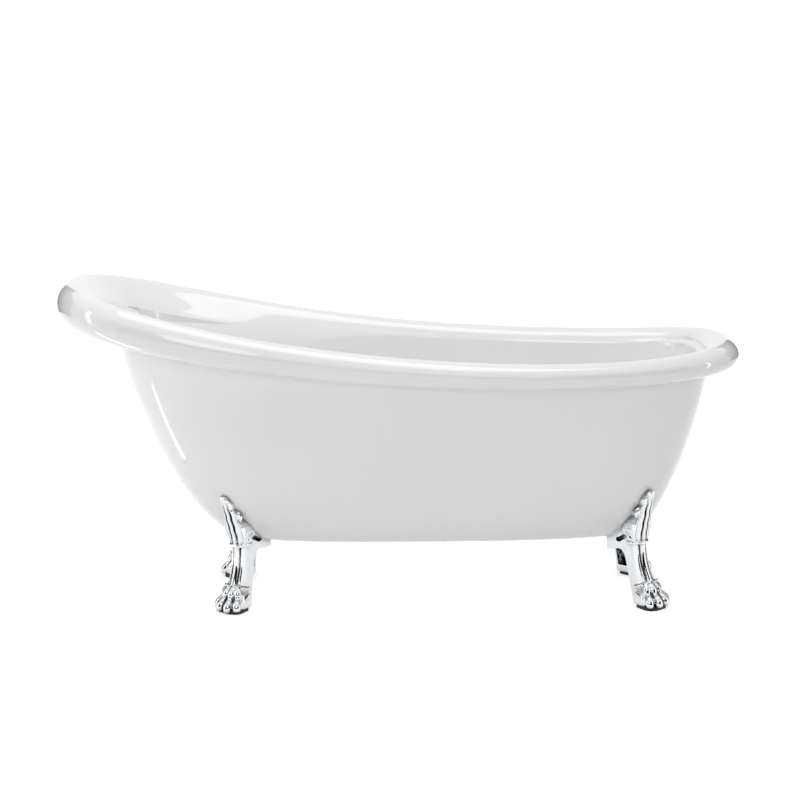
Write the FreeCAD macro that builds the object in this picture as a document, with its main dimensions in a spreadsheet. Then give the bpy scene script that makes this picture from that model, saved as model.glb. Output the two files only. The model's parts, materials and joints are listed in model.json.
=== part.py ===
"""Roll-top slipper bath on four claw feet.

A white double-skinned bath: a basin whose rim rolls over an outer skirt, carried on four
cast paw feet with levelling pads, with its waste, click-clack plug and overflow.
+X runs to the low end with the waste, -X to the high slipper end, +Z up, millimetres.
The origin is on the floor under the middle of the bath.
"""
import FreeCAD, Part
import Sketcher
import math
import os

V = FreeCAD.Vector
TURN = 2 * math.pi

doc = FreeCAD.newDocument("clawfoot_bath")
sheet = doc.addObject("Spreadsheet::Sheet", "Sizes")

# name, millimetres or plain number, what it is
DRIVING = (
    # rim: the centre line of the roll, seen from above and from the side
    ("rim_end_high", 802.5, "roll centre to the origin at the slipper end"),
    ("rim_end_low", 807.5, "roll centre to the origin at the low end"),
    ("rim_station", -312, "where the rim is widest"),
    ("rim_half_width", 340.5, "half width of the roll's centre line there"),
    ("rim_taper", 0.0194, "how fast the half width falls towards the low end"),
    ("rim_power_high", 2.71, "roundness of the slipper end seen from above"),
    ("rim_power_low", 3.44, "roundness of the low end seen from above"),
    ("rim_low", 608.6, "roll centre above the floor at the lowest place"),
    ("rim_low_at", 450, "where the rim is lowest"),
    ("rim_high", 763, "roll centre above the floor at the slipper end"),
    ("rim_sweep", 2.12, "how late the rim rises towards the slipper end"),
    ("rim_end_rise", 20, "rise of the rim from its lowest place to the low end"),
    # roll: half widths and half heights of its section
    ("roll_half", 34.5, "half width along the sides"),
    ("roll_half_high", 47, "half width at the slipper end"),
    ("roll_half_low", 43, "half width at the low end"),
    ("roll_rise", 31, "half height along the sides"),
    ("roll_rise_high", 50, "half height at the slipper end"),
    ("roll_rise_low", 34.5, "half height at the low end"),
    ("roll_tilt", 5, "degrees that the slipper end's roll leans outwards"),
    ("sheet_wall", 5, "thickness of the basin's sheet"),
    # outer skirt
    ("skirt_wall", 5, "thickness of the skirt"),
    ("skirt_centre", 15.4, "middle of the skirt along the bath"),
    ("skirt_foot", 168.3, "underside of the skirt above the floor"),
    ("skirt_span", 610.7, "height over which the skirt bulges"),
    ("base_high", 424.6, "flat base, skirt centre to the slipper end"),
    ("base_low", 584.6, "flat base, skirt centre to the low end"),
    ("base_half", 150, "half width of the flat base"),
    ("bulge_high", 303.8, "how far the slipper end bulges past the base"),
    ("bulge_low", 199.6, "how far the low end bulges past the base"),
    ("bulge_side", 168.8, "how far the sides bulge past the base"),
    ("bulge_end_power", 1.52, "fullness of the ends' bulge"),
    ("bulge_side_power", 2, "fullness of the sides' bulge"),
    ("skirt_power", 2.9, "roundness of the skirt seen from above"),
    ("lip_gap", 1, "the roll's lip stops this short of the skirt"),
    ("lip_height", 0.85, "share of the roll's half height at which its lip ends"),
    ("skin_gap", 6, "least air between the basin and the skirt"),
    # inside of the basin
    ("floor_top", 226, "inside floor above the bath's floor"),
    ("floor_high", -330, "slipper end of the flat inside floor"),
    ("floor_low", 490, "low end of the flat inside floor"),
    ("floor_half", 150, "half width of the flat inside floor"),
    ("floor_power", 3, "roundness of the inside floor"),
    ("wall_side_power", 1.7, "fullness of the inner side walls"),
    ("wall_high_power", 1.35, "fullness of the reclining back"),
    ("wall_low_power", 1.25, "fullness of the inner wall at the low end"),
    ("back_flare", 0.2, "share of the back that flares out under the roll"),
    # base inside the skirt
    ("board_thick", 18, "base board"),
    ("board_half", 118, "half width of the base board"),
    ("board_high", -330, "slipper end of the base board"),
    ("board_low", 530, "low end of the base board"),
    ("rail_width", 40, "cross rails, along the bath"),
    ("rail_wall", 3, "cross rails, sheet thickness"),
    ("rail_half", 118, "half length of the cross rails"),
    ("rail_first", -250, "first cross rail"),
    ("rail_pitch", 290, "from one cross rail to the next"),
    # feet
    ("foot_high", -400, "casting reference at the slipper end"),
    ("foot_low", 611, "casting reference at the low end"),
    ("foot_across", 160, "casting reference from the centre line"),
    ("foot_turn", 45, "degrees between the feet and the bath's length"),
    ("foot_lean", 3.8, "degrees that a foot leans to follow the skirt"),
    ("seat_slope", 32, "slope of the feet's seat under the skirt, degrees"),
    ("foot_wall", 5, "wall of the castings"),
    ("cheek_half", 21, "half width of the castings' cheeks"),
    ("sole_top", 33, "inside of the sole above the floor"),
    ("lean_along", 24, "where the lean is measured, outwards of the casting reference"),
    ("lean_height", 12, "where the lean is measured, above the floor"),
    ("stud_along", 10, "levelling stud outwards of the casting reference"),
    ("sole_gap", 0.2, "sole to the pad when the foot is screwed right down"),
    ("toe_clear", 57, "the sole is flat up to this far outwards"),
    # levelling
    ("stud_radius", 5, "levelling stud"),
    ("stud_length", 40, "levelling stud above the pad"),
    ("stud_gap", 0.1, "levelling stud to its bore"),
    ("pad_thick", 10, "levelling pad"),
    ("pad_half_back", 24, "levelling pad, half width at the heel"),
    ("pad_half_front", 35, "levelling pad, half width at the toes"),
    ("pad_back", -12, "heel of the pad from the casting reference"),
    ("pad_front", 54, "front of the pad from the casting reference"),
    ("nut_height", 8, "hexagon nuts"),
    ("nut_flats", 17, "hexagon nuts across the flats"),
    ("nut_gap", 0.1, "bore of a nut to its stud"),
    # anchor studs that hold the feet
    ("anchor_radius", 5, "studs welded to the anchor plates"),
    ("anchor_gap", 0.5, "studs to the holes they pass through"),
    ("anchor_near", -48, "outer stud from the casting reference"),
    ("anchor_far", -70, "inner stud from the casting reference"),
    ("anchor_wide", 64, "anchor plates across the foot"),
    ("anchor_deep", 46, "anchor plates along the seat"),
    ("anchor_thick", 5, "anchor plates"),
    ("washer_half", 11, "half width of the plate washers under the foot nuts"),
    ("washer_thick", 2, "plate washers under the foot nuts"),
    # waste
    ("drain_at", 425, "waste along the bath"),
    ("drain_hole", 26, "radius of the hole in the basin's floor"),
    ("waste_neck", 22.5, "outer radius of the waste's threaded neck"),
    ("waste_bore", 19.5, "inner radius of the waste's neck"),
    ("flange_radius", 35, "radius of the waste flange"),
    ("flange_thick", 2.5, "thickness of the waste flange"),
    ("gasket_thick", 2, "rubber rings above and below the basin's floor"),
    ("boss_radius", 9, "boss in the middle of the waste's strainer"),
    ("spoke_width", 4, "spokes of the strainer"),
    ("spoke_height", 5, "depth of the strainer below the flange"),
    ("body_radius", 30, "outer radius of the waste body"),
    ("body_wall", 4, "wall of the waste body"),
    ("body_low", 176, "underside of the waste body above the floor"),
    ("tail_radius", 20, "outer radius of the tailpiece"),
    ("tail_wall", 2, "wall of the tailpiece"),
    ("tail_low", 146, "lower end of the tailpiece above the floor"),
    ("tail_free", 9, "plain end of the tailpiece that takes the trap"),
    ("tail_bead", 1, "how far the tailpiece's stop bead stands out"),
    ("opening_radius", 62, "opening in the skirt's base under the waste"),
    ("board_opening", 52, "opening in the base board round the waste"),
    ("body_collar", 14, "height of the threaded collar in the waste body"),
    ("thread_gap", 0.1, "between screwed pieces"),
    ("outlet_radius", 24, "outer radius of the waste body's outlet"),
    ("outlet_long", 12, "length of the waste body's outlet"),
    ("outlet_nut", 28.5, "outer radius of the outlet's nut"),
    ("outlet_lip", 3, "lip of the outlet's nut"),
    ("tail_inside", 14, "how far the tailpiece reaches up into the outlet"),
    # click-clack plug
    ("plug_radius", 31, "radius of the plug's cap"),
    ("plug_thick", 4, "thickness of the plug's cap"),
    ("plug_seal_radius", 28, "radius of the plug's seal"),
    ("plug_seal_thick", 2, "thickness of the plug's seal"),
    ("plug_stem", 5, "radius of the plug's stem"),
    ("plug_stem_long", 24, "length of the plug's stem"),
    ("plug_gap", 0.1, "plug to what it slides in or closes on"),
    ("plug_travel", 9, "how far the plug rises when it clicks open"),
    # overflow
    ("overflow_height", 520, "middle of the overflow above the floor"),
    ("overflow_hole", 21, "radius of the overflow's hole in the basin"),
    ("spigot_radius", 19, "outer radius of the elbow's neck through the basin"),
    ("spigot_wall", 2, "wall of the elbow's neck"),
    ("bridge_width", 6, "bridge in the elbow's neck that takes the cover's screw"),
    ("seal_front", 4, "cover's seal, from its front to the wall"),
    ("cover_stand", 3, "back edge of the cover to the wall"),
    ("cover_boss", 5, "boss in the cover, from the cover's front"),
    ("bridge_deep", 6, "depth of the bridge"),
    ("seal_back", 3, "elbow's seal behind the sheet"),
    ("seal_radius", 25, "radius of both overflow seals"),
    ("cover_screw", 2.5, "radius of the cover's screw"),
    ("cover_slot", 9, "height of the cover's slot"),
    ("cover_radius", 35, "radius of the overflow cover"),
    ("cover_depth", 9, "depth of the overflow cover"),
    ("cover_wall", 2, "wall of the overflow cover"),
    ("elbow_radius", 25, "radius of the overflow elbow's flange"),
    ("elbow_flange", 3, "thickness of the elbow's flange"),
    ("elbow_chamber", 18, "outer radius of the elbow's chamber"),
    ("elbow_wall", 2, "wall of the elbow"),
    ("pipe_radius", 10, "outer radius of the overflow pipe"),
    ("pipe_wall", 1.5, "wall of the overflow pipe"),
    ("pipe_bend", 45, "bend radius of the overflow pipe"),
    ("inlet_high", 15, "waste body's underside up to the overflow pipe's level run"),
    ("pipe_corner_in", 52.9, "overflow pipe's lower corner inwards of the skirt"),
    ("pipe_clear", 15.5, "overflow pipe's upper bend to the skirt"),
    ("pipe_drop", 65, "overflow's middle down to the pipe's upper bend"),
    ("socket_wall", 2, "wall of the sockets that take the pipe"),
    ("socket_long", 16, "length of the waste body's socket"),
    ("elbow_socket", 36, "length of the elbow's socket from its middle"),
    ("pipe_entry", 12, "how far the pipe reaches into a socket"),
    ("coupling_wall", 3, "wall of the pipe's coupling nuts"),
    ("coupling_long", 14, "length of the pipe's coupling nuts"),
    ("coupling_lip", 3, "lip of the pipe's coupling nuts"),
)


class Size:
    """A number together with the spreadsheet expression that it comes from."""

    def __init__(self, value, text):
        self.value, self.text = float(value), text

    def join(self, other, sign, value):
        text = other.text if isinstance(other, Size) else repr(float(other))
        return Size(value, f"({self.text} {sign} {text})")

    def __float__(self):
        return self.value

    def __add__(self, other):
        return self.join(other, "+", self.value + float(other))

    def __sub__(self, other):
        return self.join(other, "-", self.value - float(other))

    def __mul__(self, other):
        return self.join(other, "*", self.value * float(other))

    def __truediv__(self, other):
        return self.join(other, "/", self.value / float(other))

    def __neg__(self):
        return self * -1


class Named:
    """The driving sizes by name, as Size objects."""


size = Named()
num = Named()
for row, (name, value, note) in enumerate(DRIVING, start=1):
    sheet.set(f"A{row}", name)
    sheet.set(f"B{row}", str(value))
    sheet.set(f"C{row}", note)
    sheet.setAlias(f"B{row}", name)
doc.recompute()
for name, value, note in DRIVING:
    setattr(num, name, float(sheet.get(name)))
    setattr(size, name, Size(getattr(num, name), f"Sizes.{name}"))

parts = []


def bind(thing, **sizes):
    """Tie properties of an object to the spreadsheet."""
    for prop, amount in sizes.items():
        if isinstance(amount, Size):
            thing.setExpression(prop, amount.text)
        else:
            setattr(thing, prop, amount)
    return thing


def place(thing, x=0, y=0, z=0):
    """Put an object at a place given by numbers or sizes."""
    thing.Placement = FreeCAD.Placement(V(float(x), float(y), float(z)), thing.Placement.Rotation)
    for axis, amount in zip("xyz", (x, y, z)):
        if isinstance(amount, Size):
            thing.setExpression(f"Placement.Base.{axis}", amount.text)
    return thing


def keep(thing, label):
    """Name an object as a finished sub-part."""
    thing.Label = label
    parts.append(thing)
    return thing


def cylinder(name, radius, height, x=0, y=0, z=0):
    return place(bind(doc.addObject("Part::Cylinder", name), Radius=radius, Height=height), x, y, z)


def box(name, length, width, height, x=0, y=0, z=0):
    made = doc.addObject("Part::Box", name)
    return place(bind(made, Length=length, Width=width, Height=height), x, y, z)


def cut(name, base, tool):
    return bind(doc.addObject("Part::Cut", name), Base=base, Tool=tool)


def fuse(name, *shapes):
    return bind(doc.addObject("Part::MultiFuse", name), Shapes=list(shapes))


def tube(name, outer, inner, height, x=0, y=0, z=0):
    """A straight tube from a cylinder and its bore."""
    wall = cylinder(name + "_outside", outer, height, x, y, z)
    bore = cylinder(name + "_bore", inner, height, x, y, z)
    return cut(name, wall, bore)


def shaped(name, shape):
    made = doc.addObject("Part::Feature", name)
    made.Shape = shape
    return made


def polygon_profile(body, name, corners):
    """A closed sketch in the XZ plane whose corners are tied to the spreadsheet."""
    sketch = body.newObject("Sketcher::SketchObject", name)
    plane = [f for f in body.Origin.OriginFeatures if f.Role == "XZ_Plane"][0]
    sketch.AttachmentSupport = [(plane, "")]
    sketch.MapMode = "FlatFace"
    points = [V(float(r), float(z), 0) for r, z in corners]
    for start, end in zip(points, points[1:] + points[:1]):
        sketch.addGeometry(Part.LineSegment(start, end), False)
    count = len(points)
    for i in range(count):
        sketch.addConstraint(Sketcher.Constraint("Coincident", i, 2, (i + 1) % count, 1))
    for i, corner in enumerate(corners):
        for kind, amount in zip(("DistanceX", "DistanceY"), corner):
            index = sketch.addConstraint(Sketcher.Constraint(kind, -1, 1, i, 1, float(amount)))
            if isinstance(amount, Size):
                sketch.setExpression(f"Constraints[{index}]", amount.text)
    return sketch


def turned(name, corners, x=0, y=0, z=0):
    """A body revolved round its own Z axis from a profile of radius and height."""
    body = doc.addObject("PartDesign::Body", name)
    sketch = polygon_profile(body, name + "_profile", corners)
    spin = body.newObject("PartDesign::Revolution", name + "_turned")
    spin.Profile = sketch
    spin.ReferenceAxis = (sketch, ["V_Axis"])
    spin.Angle = 360
    return place(body, x, y, z)


# ---------------------------------------------------------------- curves of the bath

def signed_power(value, power):
    return math.copysign(abs(value) ** power, value)


def bulge(share, power):
    """A quarter superellipse: rises steeply from 0 and levels out at 1."""
    return (1 - (1 - share) ** power) ** (1 / power)


def oval(middle, to_high, to_low, half, power, angle, height):
    """A point of a superellipse with a different half length each way."""
    across, up = math.cos(angle), math.sin(angle)
    reach = to_high if across < 0 else to_low
    return V(middle + reach * signed_power(across, 2 / power),
             half * signed_power(up, 2 / power), height)


def skirt_reach(height, inset):
    """Half lengths to both ends and half width of the skirt at a height."""
    share = min(max((height - num.skirt_foot) / num.skirt_span, 0), 1)
    ends = bulge(share, num.bulge_end_power)
    sides = bulge(share, num.bulge_side_power)
    return (num.base_high + num.bulge_high * ends - inset,
            num.base_low + num.bulge_low * ends - inset,
            num.base_half + num.bulge_side * sides - inset)


def skirt_share(at, inset):
    """How far out a point lies: 1 on the skirt's face, or on one inset from it."""
    to_high, to_low, half = skirt_reach(at.z, inset)
    along = at.x - num.skirt_centre
    reach = to_high if along < 0 else to_low
    power = num.skirt_power
    return ((abs(along) / reach) ** power + (abs(at.y) / half) ** power) ** (1 / power)


def rim_height(x):
    if x < num.rim_low_at:
        share = (num.rim_low_at - x) / (num.rim_low_at + num.rim_end_high)
        return num.rim_low + (num.rim_high - num.rim_low) * share ** num.rim_sweep
    share = (x - num.rim_low_at) / (num.rim_end_low - num.rim_low_at)
    return num.rim_low + num.rim_end_rise * share ** 2


def rim_point(angle):
    """A point of the roll's centre line."""
    power = num.rim_power_high if math.cos(angle) < 0 else num.rim_power_low
    flat = oval(num.rim_station, num.rim_station + num.rim_end_high,
                num.rim_end_low - num.rim_station, 1, power, angle, 0)
    half = num.rim_half_width - num.rim_taper * (flat.x - num.rim_station)
    return V(flat.x, flat.y * half, rim_height(flat.x))


class Station:
    """One place along the rim: its point, its outward direction and the roll there."""

    def __init__(self, angle):
        step = 1e-3
        self.angle = angle
        self.point = rim_point(angle)
        along = rim_point(angle + step) - rim_point(angle - step)
        self.out = V(along.y, -along.x, 0).normalize()
        self.high = self.out.x ** 2 if self.out.x < 0 else 0
        self.low = self.out.x ** 2 if self.out.x > 0 else 0
        side = 1 - self.high - self.low
        self.half = (num.roll_half * side + num.roll_half_high * self.high
                     + num.roll_half_low * self.low)
        climb = (self.point.z - num.rim_low) / (num.rim_high - num.rim_low)
        climb = climb ** 0.8 if self.point.x < num.rim_low_at else 0
        self.rise = (num.roll_rise + (num.roll_rise_high - num.roll_rise) * climb
                     + (num.roll_rise_low - num.roll_rise) * self.low)

        self.skirt_angle = self.match_skirt()

    def match_skirt(self):
        """The angle at which the skirt lies straight inwards of this place on the rim."""
        along = V(-self.out.y, self.out.x, 0)
        reach = skirt_reach(self.point.z - self.rise / 2, 0)
        low, high = self.angle - 0.9, self.angle + 0.9
        for _ in range(40):
            middle = (low + high) / 2
            at = oval(num.skirt_centre, *reach, num.skirt_power, middle, self.point.z)
            if (at - self.point).dot(along) < 0:
                low = middle
            else:
                high = middle
        return low

    def roll(self, degrees, inset=0):
        """A point of the roll: 0 degrees faces outwards, 90 is the crown, 180 the inside."""
        lean = math.radians(num.roll_tilt * self.high)
        out = (self.half - inset) * math.cos(math.radians(degrees))
        up = (self.rise - inset) * math.sin(math.radians(degrees))
        shift = out * math.cos(lean) + up * math.sin(lean)
        lift = up * math.cos(lean) - out * math.sin(lean)
        return self.point + self.out * shift + V(0, 0, lift)

    def skirt(self, height, inset=0):
        """A point of the skirt's outer face, or of its inner face with an inset."""
        return oval(num.skirt_centre, *skirt_reach(height, inset), num.skirt_power,
                    self.skirt_angle, height)

    def hang(self):
        """From 0 where the roll sits on the skirt to 1 where it hangs well outside it."""
        inner = self.roll(180)
        beyond = skirt_share(inner, num.skirt_wall + num.sheet_wall + num.skin_gap) - 1
        return min(max(beyond / 0.06, self.high, 0), 1)

    def skirt_top(self):
        """Height of the skirt's edge inside the roll: lower where the roll hangs out."""
        return self.point.z - (0.2 + 0.45 * self.hang()) * self.rise

    def roll_start(self):
        """Where the wall gives way to the roll: flatter at the slipper end."""
        return 180 - 40 * self.high

    def wall(self, share):
        """A point of the basin's inner wall, from the floor's edge to the roll."""
        top = self.roll(self.roll_start())
        middle = (num.floor_high + num.floor_low) / 2
        reach = (num.floor_low - num.floor_high) / 2
        foot = oval(middle, reach, reach, num.floor_half, num.floor_power, self.angle,
                    num.floor_top)
        power = (num.wall_side_power * (1 - self.low - self.high)
                 + num.wall_low_power * self.low + num.wall_high_power * self.high)
        flare = num.back_flare * self.high
        spread = (1 - flare) * bulge(share, power) + flare * share ** 10
        at = foot + (top - foot) * spread
        at.z = foot.z + (top.z - foot.z) * share
        return self.inside_skirt(at)

    def inside_skirt(self, at):
        """Draw a point of the wall in where it would touch the skirt, but not above its edge."""
        depth = num.skirt_wall + num.sheet_wall + num.skin_gap
        clear = min(max((at.z - self.skirt_top() - 4) / 26, 0), 1)
        ratio = skirt_share(at, depth) / (1 + 0.25 * clear ** 2)
        drawn = (1 + ratio ** 40) ** (-1 / 40)
        return V(num.skirt_centre + (at.x - num.skirt_centre) * drawn, at.y * drawn, at.z)

    def basin(self, share):
        """The basin's upper face: the wall up to 1, the roll up to 2, its lip up to 3."""
        if share <= 1:
            return self.wall(share)
        if share <= 2:
            start = self.roll_start()
            return self.roll(start + (share - 1) * (-90 - start))
        low = self.roll(-90)
        edge = self.lip()
        return low + (edge - low) * (share - 2)

    def lip(self):
        """The lip's edge, just clear of the skirt."""
        height = self.point.z - num.lip_height * self.rise
        return self.skirt(height, -num.lip_gap)


def rim_stations(count):
    """Stations round the rim, closer together where it turns."""
    fine = 3000
    turn_weight = 400
    track = [rim_point(TURN * (i + 0.5) / fine) for i in range(fine + 2)]
    run = [0.0]
    for before, here, after in zip(track, track[1:], track[2:]):
        first, second = here - before, after - here
        bend = V(first.x, first.y, 0).getAngle(V(second.x, second.y, 0))
        run.append(run[-1] + first.Length + turn_weight * abs(bend))
    found, at = [], 0
    for k in range(count):
        goal = run[-1] * (k + 0.5) / count
        while run[at + 1] < goal:
            at += 1
        rest = (goal - run[at]) / (run[at + 1] - run[at])
        found.append(Station(TURN * (at + 0.5 + rest) / fine))
    return found


STATIONS = rim_stations(44)


def faceted(rows):
    """A closed solid with flat facets through rings of as many points each."""
    faces = []
    for lower, upper in zip(rows, rows[1:]):
        count = len(lower)
        for i in range(count):
            k = (i + 1) % count
            for corners in ((lower[i], lower[k], upper[k]), (lower[i], upper[k], upper[i])):
                faces.append(Part.Face(Part.makePolygon(list(corners) + [corners[0]])))
    for ring in (rows[0], rows[-1]):
        flat = max(p.z for p in ring) - min(p.z for p in ring) < 1e-6
        if flat:
            faces.append(Part.Face(Part.makePolygon(ring + [ring[0]])))
            continue
        middle = sum(ring, V(0, 0, 0)) * (1 / len(ring))
        for here, there in zip(ring, ring[1:] + ring[:1]):
            faces.append(Part.Face(Part.makePolygon([middle, here, there, middle])))
    skin = Part.Compound(faces)
    skin.sewShape()
    solid = Part.Solid(skin.Shells[0])
    if solid.Volume < 0:
        solid.reverse()
    return solid


def offset_row(share, depth):
    """The basin's lower face: the upper one moved by the sheet's thickness."""
    row = []
    small, turn = 1e-3, 2e-3
    for station in STATIONS:
        here = station.basin(share)
        if share == 0:
            row.append(here - V(0, 0, depth))
            continue
        up = station.basin(min(share + small, 3)) - station.basin(share - small)
        along = Station(station.angle + turn).basin(share) - Station(station.angle - turn).basin(share)
        row.append(here - up.cross(along).normalize() * depth)
    return row


# ---------------------------------------------------------------- basin

WALL_ROWS = (0, 0.06, 0.18, 0.38, 0.6, 0.8, 0.9, 0.95, 1)
ROLL_STEPS = 7


def basin_shell():
    shares = list(WALL_ROWS) + [1 + (i + 1) / ROLL_STEPS for i in range(ROLL_STEPS)] + [3]
    upper = [[s.basin(share) for s in STATIONS] for share in shares]
    lower = [offset_row(share, num.sheet_wall) for share in shares[:-1]]
    lower.append([s.lip() + V(0, 0, num.sheet_wall) for s in STATIONS])
    return faceted(upper + lower[::-1])


def wall_at_low_end(height):
    """The inner wall's point and outward slope at the low end, at a height."""
    station = Station(0)
    top = station.wall(1).z
    share = (height - num.floor_top) / (top - num.floor_top)
    here, above = station.wall(share), station.wall(share + 0.01)
    return here, math.degrees(math.atan2(above.x - here.x, above.z - here.z))


OVERFLOW, OVERFLOW_SLOPE = wall_at_low_end(num.overflow_height)
OVERFLOW_TURN = FreeCAD.Rotation(V(0, 1, 0), 90 + OVERFLOW_SLOPE)


def on_overflow(thing, depth):
    """Put an object on the overflow's axis, that far behind the inner wall's face."""
    outwards = OVERFLOW_TURN.multVec(V(0, 0, 1))
    thing.Placement = FreeCAD.Placement(OVERFLOW + outwards * depth, OVERFLOW_TURN)
    return thing


basin_sheet = shaped("basin_sheet", basin_shell())
drain_drill = cylinder("drain_drill", size.drain_hole, size.sheet_wall * 4,
                       size.drain_at, 0, size.floor_top - size.sheet_wall * 2)
overflow_drill = bind(doc.addObject("Part::Cylinder", "overflow_drill"),
                      Radius=size.overflow_hole, Height=size.sheet_wall * 6)
on_overflow(overflow_drill, -num.sheet_wall * 3)
keep(cut("basin_cut", basin_sheet, fuse("basin_drills", drain_drill, overflow_drill)), "basin")


# ---------------------------------------------------------------- skirt

SKIRT_ROWS = (0, 0.03, 0.1, 0.22, 0.42, 0.7, 1)


def skirt_outer_rows():
    """Rings of the skirt's outer face, from its flat base to its edge inside the roll."""
    rows = []
    for share in SKIRT_ROWS:
        ring = []
        for station in STATIONS:
            top = station.skirt_top()
            ring.append(station.skirt(num.skirt_foot + (top - num.skirt_foot) * share))
        rows.append(ring)
    return rows


def inward(rise, run):
    """The unit normal, inwards and up, of a slope that goes out by run and up by rise."""
    length = math.hypot(rise, run)
    return -rise / length, run / length


def thicken(rows, depth):
    """Rings parallel to the given ones at the wall's thickness, mitred at each ring."""
    inner = []
    count = len(rows[0])
    for level, ring in enumerate(rows):
        made = []
        for i, here in enumerate(ring):
            along = ring[(i + 1) % count] - ring[i - 1]
            out = V(along.y, -along.x, 0).normalize()
            if level == 0:
                below = (0, 1)
            else:
                step = here - rows[level - 1][i]
                below = inward(step.z, step.dot(out))
            if level == len(rows) - 1:
                above = below
            else:
                step = rows[level + 1][i] - here
                above = inward(step.z, step.dot(out))
            mitre = depth / (1 + below[0] * above[0] + below[1] * above[1])
            made.append(here + out * (mitre * (below[0] + above[0]))
                        + V(0, 0, mitre * (below[1] + above[1])))
        inner.append(made)
    for i, here in enumerate(inner[0]):
        inner[0][i] = V(here.x, here.y, num.skirt_foot + depth)
    return inner


skirt_outside = skirt_outer_rows()
skirt_inside = thicken(skirt_outside, num.skirt_wall)
skirt_full = faceted(skirt_outside)
skirt_hollow = faceted(skirt_inside)
skirt_sheet = shaped("skirt_sheet", faceted(skirt_outside + skirt_inside[::-1]))


# ---------------------------------------------------------------- feet

def foot_frame(low_end, back):
    """Where a casting stands: upright, and leaning to follow the skirt."""
    end = 1 if low_end else -1
    side = 1 if back else -1
    angle = math.radians(num.foot_turn)
    turn = math.degrees(math.atan2(side * math.sin(angle), end * math.cos(angle)))
    at = V(num.foot_low if low_end else num.foot_high, side * num.foot_across, 0)
    upright = FreeCAD.Placement(at, FreeCAD.Rotation(V(0, 0, 1), turn))
    lean = FreeCAD.Rotation(V(0, 1, 0), -end * num.foot_lean)
    hinge = V(num.lean_along, 0, num.lean_height)
    return upright, upright.multiply(FreeCAD.Placement(V(0, 0, 0), lean, hinge))


FEET = {"high_front": (False, False), "high_back": (False, True),
        "low_front": (True, False), "low_back": (True, True)}
SEAT = FreeCAD.Placement(V(-81, 0, 150), FreeCAD.Rotation(V(0, 1, 0), -num.seat_slope))


def extruded(corners, half):
    """A plate in the foot's side plane, that far to both sides of its middle."""
    points = [V(u, -half, z) for u, z in corners]
    face = Part.Face(Part.makePolygon(points + [points[0]]))
    return face.extrude(V(0, 2 * half, 0))


def mirrored(half_points, z):
    """A level ring from its left half, front to back."""
    points = half_points + [(u, -v) for u, v in reversed(half_points)]
    return [V(u, v, z) for u, v in points]


def shin_row(front, back, half, z):
    """Shin: a round ridge, a flute and a flat cheek on each side."""
    return mirrored([(front, 4), (front - 3, 9), (front - 8, 11), (front - 7, half - 4),
                     (front - 13, half), (back, half)], z)


def leaf_row(front, back, half, z):
    """Leaf: a rib, a channel, a side vein and a lobe that wraps back."""
    return mirrored([(front, 2), (front - 8, 0.3 * half), (front - 5, 0.55 * half),
                     (front - 12, 0.75 * half), (front - 11, 0.9 * half),
                     (front - 18, half), (back, half)], z)


def paw_row(front, back, half_back, half_front, z):
    return mirrored([(front, 8), (front - 4, half_front - 10), (front - 15, half_front),
                     (back + 6, half_back), (back, half_back - 8)], z)


TOE_SIDES = 6


def toe(angle, reach):
    """One toe from its knuckle over the fold to the ball and the claw."""
    steps = ((36, 60, 7, 7), (46, 48, 10, 9), (52, 35, 8, 8), (59, 26, 11, 10.5),
             (62, 16, 10, 9.5), (70, 7, 2.5, 2.5))
    turn = math.radians(angle)
    rows = []
    for u, z, half, deep in steps:
        ring = []
        for k in range(TOE_SIDES):
            spin = TURN * (k + 0.5) / TOE_SIDES
            side = half * math.cos(spin)
            far = u * reach + 6 - deep * 0.45 + deep * math.sin(spin)
            ring.append(V(far * math.cos(turn) - side * math.sin(turn) - 6,
                          far * math.sin(turn) + side * math.cos(turn), z))
        rows.append(ring)
    return faceted(rows)


def casting():
    """One claw foot in its own frame: +X outwards, open at the back, not yet scribed."""
    side = [(34, 56), (22, 80), (11.5, 108), (7, 135), (5, 163), (6, 190), (14, 215), (20, 250),
            (-6, 262), (-60, 250), (-94, 215), (-92, 148), (-80, 142), (-60, 146), (-45, 139),
            (-38, 122), (-31, 85), (-24, 50), (-18, 5), (45, 5)]
    inside = [(24, 62), (13, 84), (3, 110), (-1, 136), (-3, 163), (-2, 186), (2, 205),
              (-100, 300), (-130, 150), (-60, 120), (-60, num.sole_top), (20, num.sole_top)]
    web = [(-96, 141), (-30, 182.2), (-30, 240), (-96, 200)]
    body = extruded(side, num.cheek_half)
    shin = faceted([shin_row(35, -20, 22, 56), shin_row(22, -20, 21, 80),
                    shin_row(12.5, -18, 20, 108), shin_row(8, -16, 20, 135),
                    shin_row(7, -16, 22, 166)])
    leaf = faceted([leaf_row(9, -28, 24, 168), leaf_row(12, -36, 29, 186),
                    leaf_row(16, -36, 32, 206), leaf_row(20, -26, 30, 226),
                    leaf_row(24, -20, 23, 240), leaf_row(27, -12, 25, 254),
                    leaf_row(31, -6, 16, 270), leaf_row(35, 2, 12, 284),
                    leaf_row(38, 12, 4, 300)])
    collar = faceted([mirrored([(8, 9), (3, 20), (-8, 25), (-30, 25)], 161),
                      mirrored([(12, 10), (6, 22), (-7, 28), (-33, 28)], 166.5),
                      mirrored([(9, 9), (4, 20), (-8, 25), (-30, 25)], 172)])
    paw = faceted([paw_row(48, -14, 30, 40, 5), paw_row(50, -15, 29, 41, 30),
                   paw_row(44, -18, 26, 34, 46), paw_row(36, -22, 23, 26, 60)])
    toes = [toe(angle, reach) for angle, reach in ((-32, 0.95), (-11, 1.02), (11, 1.02), (32, 0.95))]
    inner = extruded(inside, num.cheek_half - num.foot_wall)
    return body.fuse([shin, leaf, collar, paw]).cut(inner).fuse([extruded(web, num.cheek_half)] + toes)


def seat_point(u, depth=0):
    """A point of the seat's plane, or that far above it."""
    reach = (u + 81) / math.cos(math.radians(num.seat_slope))
    return SEAT.multVec(V(reach, 0, depth))


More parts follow.
